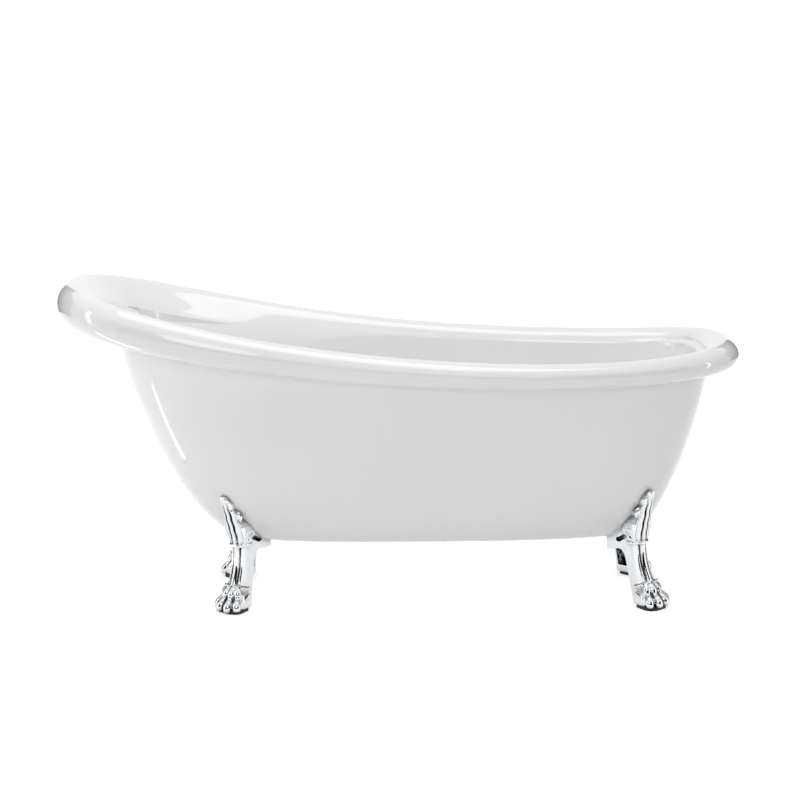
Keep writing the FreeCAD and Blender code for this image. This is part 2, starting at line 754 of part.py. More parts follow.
def seat_rod(frame, u, start, end, radius):
    """A rod square to the seat."""
    base = frame.multVec(seat_point(u, start))
    top = frame.multVec(seat_point(u, end))
    return Part.makeCylinder(radius, end - start, base, top - base)


def hexagon(flats, height):
    """A hexagonal prism on the origin."""
    corner = flats / math.sqrt(3)
    points = [V(corner * math.cos(TURN * k / 6), corner * math.sin(TURN * k / 6), 0)
              for k in range(7)]
    return Part.Face(Part.makePolygon(points)).extrude(V(0, 0, height))


def on_seat(shape, frame, u, depth):
    made = shape.copy()
    made.Placement = frame.multiply(FreeCAD.Placement(seat_point(u, depth), SEAT.Rotation))
    return made


def pad_shape():
    """The levelling pad's outline follows the sole."""
    half = [(num.pad_front, num.pad_half_front - 16), (num.pad_front - 12, num.pad_half_front - 2),
            (num.pad_front - 24, num.pad_half_front), (num.pad_back + 8, num.pad_half_back),
            (num.pad_back, num.pad_half_back - 9)]
    ring = mirrored(half, 0)
    return Part.Face(Part.makePolygon(ring + [ring[0]])).extrude(V(0, 0, num.pad_thick))


CASTING = casting()
STUDS = (num.anchor_near, num.anchor_far)
STUD_MIDDLE = (num.anchor_near + num.anchor_far) / 2
PLATE_DEPTH = {False: 25, True: 36}
NUT = hexagon(num.nut_flats, num.nut_height).cut(
    Part.makeCylinder(num.stud_radius + num.nut_gap, num.nut_height))
ANCHOR_NUT = hexagon(num.nut_flats, num.nut_height).cut(
    Part.makeCylinder(num.anchor_radius + num.nut_gap, num.nut_height))
STUD_SPREAD = (num.anchor_near - num.anchor_far) / math.cos(math.radians(num.seat_slope))
WASHER = Part.makeBox(STUD_SPREAD + num.washer_half * 2, num.washer_half * 2, num.washer_thick,
                      V(-STUD_SPREAD / 2 - num.washer_half, -num.washer_half, 0))
SOLE = num.pad_thick + num.sole_gap
drills, washers, nuts, lock_nuts = [], [], [], []
for name, (low_end, back) in FEET.items():
    upright, frame = foot_frame(low_end, back)
    shape = CASTING.copy()
    shape.Placement = frame
    bore = Part.makeCylinder(num.stud_radius + num.stud_gap, 60, V(num.stud_along, 0, 0))
    within = num.cheek_half - num.foot_wall
    seat = Part.makeBox(60, within * 2, 12, V(num.stud_along - 50, -within, num.sole_top - 3))
    ground = Part.makeBox(100 + num.toe_clear, 120, SOLE, V(-100, -60, 0))
    for tool in (bore, seat, ground):
        tool.Placement = upright
    holes = [seat_rod(frame, u, -30, 60, num.anchor_radius + num.anchor_gap) for u in STUDS]
    drills += holes
    scribed = shape.cut([skirt_full, bore, seat, ground] + holes)
    solids = sorted(scribed.Solids, key=lambda solid: -solid.Volume)
    keep(shaped("foot_" + name, solids[0]), "claw_foot_" + name)

    depth = PLATE_DEPTH[low_end]
    slab = Part.makeBox(num.anchor_deep, num.anchor_wide, num.anchor_thick,
                        V(-num.anchor_deep / 2, -num.anchor_wide / 2, 0))
    plate = on_seat(slab, frame, STUD_MIDDLE, depth)
    bed = Part.makeBox(num.anchor_deep, num.anchor_wide, depth,
                       V(-num.anchor_deep / 2, -num.anchor_wide / 2, 0))
    bed = on_seat(bed, frame, STUD_MIDDLE, 0).cut(skirt_sheet.Shape)
    bed = max(bed.Solids, key=lambda piece: piece.CenterOfMass.z)
    stud_end = -num.washer_thick - num.nut_height - 3
    rods = [seat_rod(frame, u, stud_end, depth + 1, num.anchor_radius) for u in STUDS]
    keep(shaped("anchor_" + name, plate.fuse(rods)), "anchor_plate_" + name)
    keep(shaped("bedding_" + name, bed.cut(holes)), "bedding_pad_" + name)
    washers.append(on_seat(WASHER, frame, STUD_MIDDLE, -num.washer_thick).cut(holes))
    for u in STUDS:
        nuts.append(on_seat(ANCHOR_NUT, frame, u, -num.washer_thick - num.nut_height))

    stud = Part.makeCylinder(num.stud_radius, num.stud_length, V(num.stud_along, 0, num.pad_thick))
    pad = pad_shape()
    nut = NUT.copy()
    nut.translate(V(num.stud_along, 0, num.sole_top - 3))
    for piece in (stud, pad, nut):
        piece.Placement = upright.multiply(piece.Placement)
    keep(shaped("stud_" + name, stud), "level_stud_" + name)
    keep(shaped("pad_" + name, pad), "level_pad_" + name)
    lock_nuts.append(nut)

keep(shaped("washers", Part.Compound(washers)), "foot_washers")
keep(shaped("nuts", Part.Compound(nuts)), "foot_nuts")
keep(shaped("lock_nuts", Part.Compound(lock_nuts)), "level_nuts")

skirt_opening = cylinder("skirt_opening", size.opening_radius, size.skirt_wall * 4,
                         size.drain_at, 0, size.skirt_foot - size.skirt_wall * 2)
skirt_drills = fuse("skirt_drills", skirt_opening, shaped("stud_drills", Part.Compound(drills)))
keep(cut("skirt_cut", skirt_sheet, skirt_drills), "outer_shell")


# ---------------------------------------------------------------- base inside the skirt

board_low_face = size.floor_top - size.sheet_wall - size.board_thick
rail_height = board_low_face - size.skirt_foot - size.skirt_wall
rail_names = ("high", "mid", "low")
board_blank = box("board_blank", size.board_low - size.board_high, size.board_half * 2,
                  size.board_thick, size.board_high, -size.board_half, board_low_face)
board_opening = cylinder("board_opening", size.board_opening, size.board_thick,
                         size.drain_at, 0, board_low_face)
for index, name in enumerate(rail_names):
    middle = size.rail_first + size.rail_pitch * index
    outside = box("rail_blank_" + name, size.rail_width, size.rail_half * 2, rail_height,
                  middle - size.rail_width / 2, -size.rail_half, size.skirt_foot + size.skirt_wall)
    hollow = box("rail_hollow_" + name, size.rail_width - size.rail_wall * 2, size.rail_half * 2,
                 rail_height - size.rail_wall, middle - size.rail_width / 2 + size.rail_wall,
                 -size.rail_half, size.skirt_foot + size.skirt_wall)
    keep(cut("rail_" + name, outside, hollow), "cross_rail_" + name)
keep(cut("board", board_blank, board_opening), "base_board")


# ---------------------------------------------------------------- waste

socket_bore = size.pipe_radius + size.thread_gap
socket_outside = socket_bore + size.socket_wall

flange_low = size.floor_top + size.gasket_thick
flange_top = flange_low + size.flange_thick
body_top = size.floor_top - size.sheet_wall - size.gasket_thick
neck_low = body_top - size.body_collar
boss_top = flange_top - size.flange_thick
boss_low = boss_top - size.spoke_height * 2

flange_body = turned("waste_flange_turned", (
    (size.waste_bore, neck_low), (size.waste_neck, neck_low), (size.waste_neck, flange_low),
    (size.flange_radius, flange_low), (size.flange_radius - size.flange_thick / 2, flange_top),
    (size.waste_bore, flange_top)),
    size.drain_at)
spokes = []
for index, (long_side, wide_side) in enumerate((("spoke_along", 0), ("spoke_across", 1))):
    reach = size.waste_bore * 2 + size.flange_thick
    length, width = (size.spoke_width, reach) if wide_side else (reach, size.spoke_width)
    spokes.append(box(long_side, length, width, size.spoke_height,
                      size.drain_at - length / 2, -width / 2, boss_top - size.spoke_height))
boss = cylinder("strainer_boss", size.boss_radius, size.spoke_height * 2, size.drain_at, 0, boss_low)
stem_hole = cylinder("stem_hole", size.plug_stem + size.plug_gap, size.spoke_height * 4,
                     size.drain_at, 0, boss_low - size.spoke_height)
keep(cut("waste_flange_cut", fuse("waste_flange_whole", flange_body, boss, *spokes), stem_hole),
     "waste_flange")

keep(tube("gasket_upper", size.flange_radius - size.gasket_thick, size.waste_neck + size.thread_gap,
          size.gasket_thick, size.drain_at, 0, size.floor_top), "waste_gasket")
keep(tube("gasket_lower", size.body_radius, size.waste_neck + size.thread_gap, size.gasket_thick,
          size.drain_at, 0, body_top), "lower_gasket")

outlet_low = size.body_low - size.outlet_long
pipe_level = size.body_low + size.inlet_high
cup = turned("waste_cup", (
    (size.tail_radius + size.thread_gap, outlet_low), (size.outlet_radius, outlet_low),
    (size.outlet_radius, size.body_low), (size.body_radius, size.body_low),
    (size.body_radius, body_top), (size.waste_neck + size.thread_gap, body_top),
    (size.waste_neck + size.thread_gap, neck_low),
    (size.body_radius - size.body_wall, neck_low - size.body_wall),
    (size.body_radius - size.body_wall, size.body_low + size.body_wall),
    (size.tail_radius + size.thread_gap, size.body_low + size.body_wall)), size.drain_at)


def lying(name, radius, length, x):
    """A cylinder along +X at the height of the overflow pipe's level run."""
    made = cylinder(name, radius, length, x, 0, pipe_level)
    made.Placement = FreeCAD.Placement(made.Placement.Base, FreeCAD.Rotation(V(0, 1, 0), 90))
    return made


inlet_start = size.drain_at + size.body_radius - size.body_wall / 2
inlet = lying("waste_inlet", socket_outside, size.socket_long, inlet_start)
inlet_bore = lying("waste_inlet_bore", socket_bore, size.socket_long + size.body_wall * 2,
                   inlet_start - size.body_wall * 2)
keep(cut("waste_body_cut", fuse("waste_body_whole", cup, inlet), inlet_bore), "waste_body")

tail_high = outlet_low + size.tail_inside
bead_low = size.tail_low + size.tail_free
keep(turned("tailpiece_turned", (
    (size.tail_radius - size.tail_wall, size.tail_low), (size.tail_radius, size.tail_low),
    (size.tail_radius, bead_low), (size.tail_radius + size.tail_bead, bead_low),
    (size.tail_radius + size.tail_bead, bead_low + size.tail_bead * 2),
    (size.tail_radius, bead_low + size.tail_bead * 2), (size.tail_radius, tail_high),
    (size.tail_radius - size.tail_wall, tail_high)), size.drain_at), "tailpiece")
seal_high = size.outlet_lip
keep(tube("tail_seal_ring", size.outlet_radius - size.thread_gap, size.tail_radius + size.thread_gap,
          seal_high, size.drain_at, 0, outlet_low - seal_high), "tail_seal")
nut_low = outlet_low - seal_high - size.outlet_lip
keep(turned("outlet_nut_turned", (
    (size.tail_radius + size.thread_gap * 2, nut_low), (size.outlet_nut, nut_low),
    (size.outlet_nut, nut_low + size.outlet_long + 3),
    (size.outlet_radius + size.thread_gap, nut_low + size.outlet_long + 3),
    (size.outlet_radius + size.thread_gap, nut_low + size.outlet_lip),
    (size.tail_radius + size.thread_gap * 2, nut_low + size.outlet_lip)), size.drain_at),
    "outlet_nut")

# plug, drawn closed
seal_low = flange_top + size.plug_gap
cap_low = seal_low + size.plug_seal_thick
keep(turned("plug_cap_turned", (
    (0, cap_low), (size.plug_radius, cap_low), (size.plug_radius, cap_low + size.plug_thick / 2),
    (size.plug_radius * 0.75, cap_low + size.plug_thick * 0.85), (0, cap_low + size.plug_thick)),
    size.drain_at), "plug_cap")
keep(tube("plug_seal_ring", size.plug_seal_radius, size.plug_stem + size.plug_gap,
          size.plug_seal_thick,
          size.drain_at, 0, seal_low), "plug_seal")
stem = cylinder("plug_stem_rod", size.plug_stem, size.plug_stem_long, size.drain_at, 0,
                cap_low - size.plug_stem_long)
keep(stem, "plug_stem")


# ---------------------------------------------------------------- overflow

def axial(name, outer, inner, front, back):
    """A ring on the overflow's axis between two depths behind the inner wall."""
    outside = bind(doc.addObject("Part::Cylinder", name + "_outside"), Radius=outer,
                   Height=back - front)
    bore = bind(doc.addObject("Part::Cylinder", name + "_bore"), Radius=inner,
                Height=back - front)
    for piece in (outside, bore):
        on_overflow(piece, float(front))
    return cut(name, outside, bore)


def against_basin(name, front, back):
    """A seal between the neck and the basin's sheet, with the sheet's own curve."""
    ring = Part.makeCylinder(num.seal_radius, back - front)
    ring = ring.cut(Part.makeCylinder(num.spigot_radius + num.thread_gap, back - front))
    ring.Placement = FreeCAD.Placement(
        OVERFLOW + OVERFLOW_TURN.multVec(V(0, 0, 1)) * front, OVERFLOW_TURN)
    pieces = ring.cut(basin_sheet.Shape).Solids
    return shaped(name, max(pieces, key=lambda piece: piece.Volume))


sheet_middle = num.sheet_wall / 2
front_face = -size.seal_front
back_face = size.sheet_wall + size.seal_back
keep(against_basin("seal_front_ring", float(front_face), sheet_middle), "overflow_seal")
keep(against_basin("seal_back_ring", sheet_middle, float(back_face)), "overflow_gasket")

cover_dish = turned("cover_dish", (
    (size.cover_screw, 0), (size.cover_radius - 3, 0), (size.cover_radius, 3),
    (size.cover_radius, size.cover_depth), (size.cover_radius - size.cover_wall, size.cover_depth),
    (size.cover_radius - size.cover_wall, 4), (size.cover_radius - 4, size.cover_wall),
    (6, size.cover_wall), (6, size.cover_boss), (size.cover_screw, size.cover_boss)))
COVER_FRONT = -num.cover_stand - num.cover_depth
on_overflow(cover_dish, COVER_FRONT)
cover_slot = box("cover_slot", size.cover_slot, size.cover_radius, size.cover_depth)
slot_at = V(num.cover_radius - num.cover_slot * 0.6, -num.cover_radius / 2, num.cover_wall * 1.5)
cover_slot.Placement = FreeCAD.Placement(
    OVERFLOW + OVERFLOW_TURN.multVec(V(0, 0, COVER_FRONT) + slot_at), OVERFLOW_TURN)
keep(cut("cover_cut", cover_dish, cover_slot), "overflow_cover")

screw_head_body = turned("cover_screw_turned", (
    (0, -size.cover_screw), (size.cover_screw * 2, -size.cover_screw / 2),
    (size.cover_screw * 2, 0),
    (size.cover_screw - size.thread_gap, 0),
    (size.cover_screw - size.thread_gap, size.cover_boss + size.bridge_deep),
    (0, size.cover_boss + size.bridge_deep)))
on_overflow(screw_head_body, COVER_FRONT)
keep(screw_head_body, "overflow_screw")

BRIDGE = COVER_FRONT + num.cover_boss
neck = axial("elbow_neck", size.spigot_radius, size.spigot_radius - size.spigot_wall,
             size.cover_boss - size.cover_stand - size.cover_depth,
             back_face + size.elbow_flange)
bridge = box("elbow_bridge", size.bridge_width, size.spigot_radius * 2 - size.spigot_wall,
             size.bridge_deep)
bridge.Placement = FreeCAD.Placement(OVERFLOW + OVERFLOW_TURN.multVec(
    V(-num.bridge_width / 2, -num.spigot_radius + num.spigot_wall / 2, BRIDGE)), OVERFLOW_TURN)
flange_ring = axial("elbow_flange", size.elbow_radius, size.spigot_radius - size.spigot_wall,
                    back_face, back_face + size.elbow_flange)
elbow_depth = socket_outside * 2 + size.elbow_wall / 2 - size.elbow_flange
chamber = turned("elbow_chamber", (
    (0, elbow_depth - size.elbow_wall), (size.elbow_chamber - size.elbow_wall,
                                         elbow_depth - size.elbow_wall),
    (size.elbow_chamber - size.elbow_wall, 0), (size.elbow_chamber, 0),
    (size.elbow_chamber, elbow_depth - size.elbow_wall),
    (size.elbow_chamber - size.elbow_wall, elbow_depth), (0, elbow_depth)))
CHAMBER = float(back_face) + num.elbow_flange
on_overflow(chamber, CHAMBER)

SOCKET_FROM = OVERFLOW + OVERFLOW_TURN.multVec(V(0, 0, float(back_face + socket_outside)))


def skirt_inside(height):
    """How far along the bath the skirt's inner face lies at the low end."""
    return num.skirt_centre + skirt_reach(height, num.skirt_wall)[1]


UPPER = V(0, 0, num.overflow_height - num.pipe_drop)
UPPER.x = skirt_inside(UPPER.z) - num.pipe_radius - num.pipe_clear
LOWER = V(skirt_inside(float(pipe_level)) - num.pipe_corner_in, 0, float(pipe_level))
DOWN = (UPPER - SOCKET_FROM).normalize()
BACK = (LOWER - UPPER).normalize()
ALONG = V(-1, 0, 0)


def on_line(thing, start, direction, along):
    """Put an object on a line, its Z axis along the line."""
    thing.Placement = FreeCAD.Placement(start + direction * float(along),
                                        FreeCAD.Rotation(V(0, 0, 1), direction))
    return thing


def on_socket(name, radius, length, along):
    made = bind(doc.addObject("Part::Cylinder", name), Radius=radius, Height=length)
    return on_line(made, SOCKET_FROM, DOWN, along)


socket_body = on_socket("elbow_socket", socket_outside, size.elbow_socket, 0)
socket_drill = on_socket("elbow_socket_bore", socket_bore, size.elbow_socket, 0)
screw_drill = bind(doc.addObject("Part::Cylinder", "bridge_drill"), Radius=size.cover_screw,
                   Height=size.bridge_deep * 3)
on_overflow(screw_drill, BRIDGE - num.bridge_deep)
keep(cut("elbow_cut", fuse("elbow_whole", neck, bridge, flange_ring, chamber, socket_body),
         fuse("elbow_drills", socket_drill, screw_drill)), "overflow_elbow")


def corner(here, before, after, radius):
    """The start, middle and end of the bend that rounds a corner of the pipe."""
    angle = before.getAngle(after)
    reach = radius * math.tan(angle / 2)
    middle = (after - before).normalize() * (radius / math.cos(angle / 2) - radius)
    return here - before * reach, here + middle, here + after * reach


def overflow_pipe():
    """The pipe: down from the elbow between the two skins, then level to the waste."""
    start = SOCKET_FROM + DOWN * (num.elbow_socket - num.pipe_entry)
    first = corner(UPPER, DOWN, BACK, num.pipe_bend)
    second = corner(LOWER, BACK, ALONG, num.pipe_bend)
    end = V(float(inlet_start) + num.socket_long - num.pipe_entry, 0, float(pipe_level))
    path = Part.Wire([Part.makeLine(start, first[0]), Part.Arc(*first).toShape(),
                      Part.makeLine(first[2], second[0]), Part.Arc(*second).toShape(),
                      Part.makeLine(second[2], end)])
    skins = []
    for radius in (num.pipe_radius, num.pipe_radius - num.pipe_wall):
        section = Part.Wire(Part.makeCircle(radius, start, DOWN))
        skins.append(path.makePipeShell([section], True, False))
    return skins[0].cut(skins[1])


keep(shaped("pipe", overflow_pipe()), "overflow_pipe")


def coupling(name):
    """A nut with a lip that closes on a socket's end, its lip at the far side."""
    bore = socket_outside + size.thread_gap
    outer = bore + size.coupling_wall
    lip = size.pipe_radius + size.thread_gap
    return turned(name, ((bore, 0), (outer, 0), (outer, size.coupling_long),
                         (lip, size.coupling_long), (lip, size.coupling_long - size.coupling_lip),
                         (bore, size.coupling_long - size.coupling_lip)))


on_socket_nut = coupling("upper_nut")
NUT_BACK = num.coupling_long - num.coupling_lip - 1
on_line(on_socket_nut, SOCKET_FROM, DOWN, num.elbow_socket - NUT_BACK)
inlet_nut = coupling("inlet_nut")
on_line(inlet_nut, V(float(inlet_start), 0, float(pipe_level)), V(1, 0, 0),
        num.socket_long - NUT_BACK)
keep(on_socket_nut, "overflow_nut")
keep(inlet_nut, "inlet_nut")


# ---------------------------------------------------------------- check and write

doc.recompute()
for thing in doc.Objects:
    if "Invalid" in thing.State or "Error" in thing.State:
        raise RuntimeError(f"{thing.Name} failed: {thing.State}")
for thing in parts:
    if thing.Shape.isNull() or not thing.Shape.isValid():
        raise RuntimeError(f"{thing.Label} has no valid shape")
os.makedirs("parts", exist_ok=True)
for thing in parts:
    thing.Shape.exportStep(f"parts/{thing.Label}.step")
    print(thing.Label, len(thing.Shape.Solids), round(thing.Shape.Volume))
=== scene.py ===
"""A white roll-top slipper bath on four plated claw feet, dressed for the studio.

The shapes are worked out in millimetres; the panel's sizes and the meshes are in metres. +X runs
to the low end with the waste, -X to the high slipper end, +Z up, and the floor is at zero.
"""
import json
import math

import bmesh
import bpy
from mathutils import Matrix, Vector


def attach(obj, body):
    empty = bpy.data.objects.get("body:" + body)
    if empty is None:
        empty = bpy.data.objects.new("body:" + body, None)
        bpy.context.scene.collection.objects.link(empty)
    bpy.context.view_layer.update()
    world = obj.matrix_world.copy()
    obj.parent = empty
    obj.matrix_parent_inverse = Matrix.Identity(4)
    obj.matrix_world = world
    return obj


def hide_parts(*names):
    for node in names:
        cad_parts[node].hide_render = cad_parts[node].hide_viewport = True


bl_info = {
    "name": "Clawfoot bath",
    "version": (1, 0, 0),
    "blender": (4, 5, 0),
    "location": "3D View > Sidebar > Bath",
    "description": "Builds the skins, the claw feet and the finishes of a roll-top slipper bath",
    "category": "Object",
}

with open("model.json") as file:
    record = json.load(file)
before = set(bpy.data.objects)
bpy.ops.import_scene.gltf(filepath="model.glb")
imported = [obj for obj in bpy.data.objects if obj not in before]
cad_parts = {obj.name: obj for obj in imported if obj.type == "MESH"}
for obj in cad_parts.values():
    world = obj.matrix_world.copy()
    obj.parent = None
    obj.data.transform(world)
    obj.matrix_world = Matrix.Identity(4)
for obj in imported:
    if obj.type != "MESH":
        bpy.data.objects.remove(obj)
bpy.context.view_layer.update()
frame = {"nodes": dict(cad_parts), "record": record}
MM = 0.001
TURN = 2 * math.pi


# ---------------------------------------------------------------- small helpers

def linear(code):
    """An sRGB hex colour as linear light."""
    parts = [int(code[i:i + 2], 16) / 255 for i in (1, 3, 5)]
    return [p / 12.92 if p <= 0.04045 else ((p + 0.055) / 1.055) ** 2.4 for p in parts] + [1.0]


def clamp(value):
    return min(max(value, 0), 1)


def in_mm(length):
    """A length from the panel in millimetres, to a micron."""
    return round(length / MM, 3)


def pattern_scale(spacing):
    """The scale of a pattern that repeats about every so many millimetres."""
    return 1 / (spacing * MM)


def set_inputs(tree, node, **links):
    """Set or link a node's inputs, by name with __ for a space, or by _ and a number.

    A node that is given stands for its first output.
    """
    for name, value in links.items():
        key = int(name[1:]) if name[0] == "_" else name.replace("__", " ")
        socket = node.inputs[key]
        if isinstance(value, bpy.types.Node):
            value = value.outputs[0]
        if isinstance(value, bpy.types.NodeSocket):
            tree.links.new(value, socket)
        else:
            socket.default_value = value
    return node


def add_node(tree, kind, settings=None, **links):
    """One node with its settings, and its inputs set or linked."""
    node = tree.nodes.new("ShaderNode" + kind)
    for key, value in (settings or {}).items():
        setattr(node, key, value)
    return set_inputs(tree, node, **links)


def new_material(name):
    material = bpy.data.materials.new(name)
    material.use_nodes = True
    tree = material.node_tree
    tree.nodes.clear()
    shader = add_node(tree, "BsdfPrincipled")
    add_node(tree, "OutputMaterial", _0=shader)
    return material, tree, shader


def patterned_material(name):
    """A new material, with the place on the object from which its patterns are made."""
    material, tree, shader = new_material(name)
    return material, tree, shader, add_node(tree, "TexCoord").outputs["Object"]


def clear_selection():
    if bpy.context.object and bpy.context.object.mode != "OBJECT":
        bpy.ops.object.mode_set(mode="OBJECT")
    bpy.ops.object.select_all(action="DESELECT")


def pick(piece):
    clear_selection()
    piece.select_set(True)
    bpy.context.view_layer.objects.active = piece


def apply_modifier(piece, kind, **settings):
    pick(piece)
    modifier = piece.modifiers.new(kind.title(), kind)
    for key, value in settings.items():
        setattr(modifier, key, value)
    bpy.ops.object.modifier_apply(modifier=modifier.name)


def smooth(piece, degrees=40):
    pick(piece)
    bpy.ops.object.shade_smooth_by_angle(angle=math.radians(degrees))


def face_outwards(piece):
    pick(piece)
    bpy.ops.object.mode_set(mode="EDIT")
    bpy.ops.mesh.select_all(action="SELECT")
    bpy.ops.mesh.normals_make_consistent(inside=False)
    bpy.ops.object.mode_set(mode="OBJECT")


def thicken(piece, sheet, shown):
    """Give a sheet its thickness behind the side that shows: up (1) or down (-1) on its floor."""
    offset = -1.0 if piece.data.polygons[0].normal.z * shown > 0 else 1.0
    apply_modifier(piece, "SOLIDIFY", thickness=sheet, offset=offset, use_even_offset=False)
    face_outwards(piece)


def extruded_rings(name, rings, close_start=False, close_end=False):
    """A circle extruded ring by ring, each ring's points moved to their place."""
    clear_selection()
    bpy.ops.mesh.primitive_circle_add(vertices=len(rings[0]), fill_type="NOTHING")
    piece = bpy.context.object
    piece.name = piece.data.name = name
    bpy.ops.object.mode_set(mode="EDIT")
    bm = bmesh.from_edit_mesh(piece.data)
    place = bm.verts.layers.int.new("place")
    row = bm.verts.layers.int.new("row")
    for index, vert in enumerate(bm.verts):
        vert[place] = index
        vert.co = rings[0][index] * MM
    bmesh.update_edit_mesh(piece.data)
    bpy.ops.mesh.select_all(action="SELECT")
    for number, ring in enumerate(rings[1:], 1):
        bpy.ops.mesh.extrude_region_move()
        bm = bmesh.from_edit_mesh(piece.data)
        place, row = (bm.verts.layers.int[key] for key in ("place", "row"))
        for vert in bm.verts:
            if vert.select:
                vert[row] = number
                vert.co = ring[vert[place]] * MM
        bmesh.update_edit_mesh(piece.data)
    if close_end:
        bpy.ops.mesh.edge_face_add()
    if close_start:
        bpy.ops.mesh.select_all(action="DESELECT")
        bm = bmesh.from_edit_mesh(piece.data)
        for edge in [edge for edge in bm.edges if len(edge.link_faces) == 1]:
            edge.select = True
        bmesh.update_edit_mesh(piece.data)
        bpy.ops.mesh.edge_face_add()
    face_outwards(piece)
    return piece


def finish_piece(piece, material, slot, body, *nodes):
    piece.data.materials.clear()
    piece.data.materials.append(material)
    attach(piece, body)
    if nodes:
        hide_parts(*nodes)


# ---------------------------------------------------------------- sizes and colours

def length(name, default, description, **settings):
    """A size on the panel, in metres."""
    return bpy.props.FloatProperty(name=name, default=default, description=description,
                                   subtype="DISTANCE", unit="LENGTH", **settings)


def colour(name, code, description):
    return bpy.props.FloatVectorProperty(name=name, default=linear(code), size=4, min=0, max=1,
                                         description=description, subtype="COLOR")


class BathSizes(bpy.types.PropertyGroup):
    """Sizes of the bath's skins."""
    rim_low: length("Rim, low", 0.6086, "Height of the roll's middle at its lowest place")
    rim_high: length("Rim, high", 0.763, "Height of the roll's middle at the slipper end")
    roll_half: length("Roll, sides", 0.0345, "Half width of the roll at the sides")
    roll_high: length("Roll, slipper end", 0.047, "Half width of the roll at the slipper end")
    sheet: length("Sheet", 0.005, "Thickness of both skins", min=0.001)
    around: bpy.props.IntProperty(name="Points round the rim", default=176, min=24,
                                  description="Points in each ring of the skins")


class FootSizes(bpy.types.PropertyGroup):
    """Sizes of the claw feet."""
    grain: length("Grain", 0.0011, "Edge length of the casting's mesh", min=0.0005, precision=4)
    wall: length("Wall", 0.005, "Wall of the casting", min=0.002)
    lean: bpy.props.FloatProperty(name="Lean", default=math.radians(3.8), subtype="ANGLE",
                                  description="Angle by which a foot leans to follow the skirt")


class BathColours(bpy.types.PropertyGroup):
    """Colours of the bath's finishes and of the floor."""
    acrylic: colour("Acrylic", "#F1F1F1", "Cast acrylic of both skins")
    # the chrome's colour in the open; the chrome finish paints shade over it in the recesses
    plate: colour("Chrome plate", "#D8DADC", "Bright chrome plate where the buff reaches")
    rubber: colour("Rubber", "#161616", "Moulded rubber of the pads and seals")
    floor: colour("Floor", "#F4F4F4", "Pale floor of the stage")


# ---------------------------------------------------------------- curves of the bath

# The rim's middle line: its reach to both ends from a station, the half width there and its
# taper, the powers of its ovals, and its sweep up to the slipper end. The roll on it: half
# width at the low end, rises at the sides and both ends, and its tilt in degrees.
RIM = {"high": 802.5, "low": 807.5, "station": -312.0, "half": 340.5, "taper": 0.0194,
       "power_high": 2.71, "power_low": 3.44, "low_at": 450.0, "sweep": 2.12, "end_rise": 20.0,
       "half_low": 43.0, "rise": 31.0, "rise_high": 50.0, "rise_low": 34.5, "rise_power": 0.8,
       "tilt": 5.0, "start": 180.0, "start_high": 140.0, "end": -90.0}
# The skirt: its base and height, its reach at the base, how far it bulges out above, its gap
# to the lip and the room for the skins; then where its edge and the lip lie in the roll.
SKIRT = {"middle": 15.4, "foot": 168.3, "span": 610.7, "high": 424.6, "low": 584.6,
         "half": 150.0, "bulge_high": 303.8, "bulge_low": 199.6, "bulge_side": 168.8,
         "end_power": 1.52, "side_power": 2.0, "power": 2.9, "gap": 1.0, "skins": 6.0,
         "edge": 0.2, "edge_hung": 0.45, "hung_beyond": 0.06, "lip": 0.85}
# The basin's floor and the powers of the walls that rise from it
FLOOR = {"top": 226.0, "high": -330.0, "low": 490.0, "half": 150.0, "power": 3.0,
         "side": 1.7, "back": 1.35, "front": 1.25, "flare": 0.2, "flare_power": 10}
# How the wall is drawn in off the skirt: sharply below, and eased over the skirt's edge
DRAW_IN = {"crisp": 40, "ease": 0.25, "ease_from": 4.0, "ease_over": 26.0}
DRAIN = Vector((425.0, 0.0, 0.0))
DRAIN_HOLE = 26.0
BASE_OPENING = 62.0


def signed_power(value, power):
    return math.copysign(abs(value) ** power, value)


def bulge(share, power):
    return (1 - (1 - share) ** power) ** (1 / power)


def oval(middle, to_high, to_low, half, power, angle, height):
    across, up = math.cos(angle), math.sin(angle)
    reach = to_high if across < 0 else to_low
    return Vector((middle + reach * signed_power(across, 2 / power),
                   half * signed_power(up, 2 / power), height))


def skirt_reach(height, inset):
    """Half lengths to both ends and half width of the skirt at a height."""
    share = clamp((height - SKIRT["foot"]) / SKIRT["span"])
    ends = bulge(share, SKIRT["end_power"])
    sides = bulge(share, SKIRT["side_power"])
    return (SKIRT["high"] + SKIRT["bulge_high"] * ends - inset,
            SKIRT["low"] + SKIRT["bulge_low"] * ends - inset,
            SKIRT["half"] + SKIRT["bulge_side"] * sides - inset)


def skirt_share(at, inset):
    """How far out a point lies: 1 on the skirt's face, or on one inset from it."""
    to_high, to_low, half = skirt_reach(at.z, inset)
    along = at.x - SKIRT["middle"]
    reach = to_high if along < 0 else to_low
    power = SKIRT["power"]
    return ((abs(along) / reach) ** power + (abs(at.y) / half) ** power) ** (1 / power)


def skins_room():
    """How far inside the skirt's face the basin's wall keeps: both sheets and the room between."""
    return in_mm(bpy.context.scene.bath_sizes.sheet) * 2 + SKIRT["skins"]


def rim_height(x):
    """Height of the roll's middle: a sweep up to the slipper end, a small one to the other."""
    sizes = bpy.context.scene.bath_sizes
    low = in_mm(sizes.rim_low)
    if x < RIM["low_at"]:
        share = (RIM["low_at"] - x) / (RIM["low_at"] + RIM["high"])
        return low + (in_mm(sizes.rim_high) - low) * share ** RIM["sweep"]
    share = (x - RIM["low_at"]) / (RIM["low"] - RIM["low_at"])
    return low + RIM["end_rise"] * share ** 2


def rim_point(angle):
    power = RIM["power_high"] if math.cos(angle) < 0 else RIM["power_low"]
    flat = oval(RIM["station"], RIM["station"] + RIM["high"], RIM["low"] - RIM["station"], 1,
                power, angle, 0)
    half = RIM["half"] - RIM["taper"] * (flat.x - RIM["station"])
    return Vector((flat.x, flat.y * half, rim_height(flat.x)))


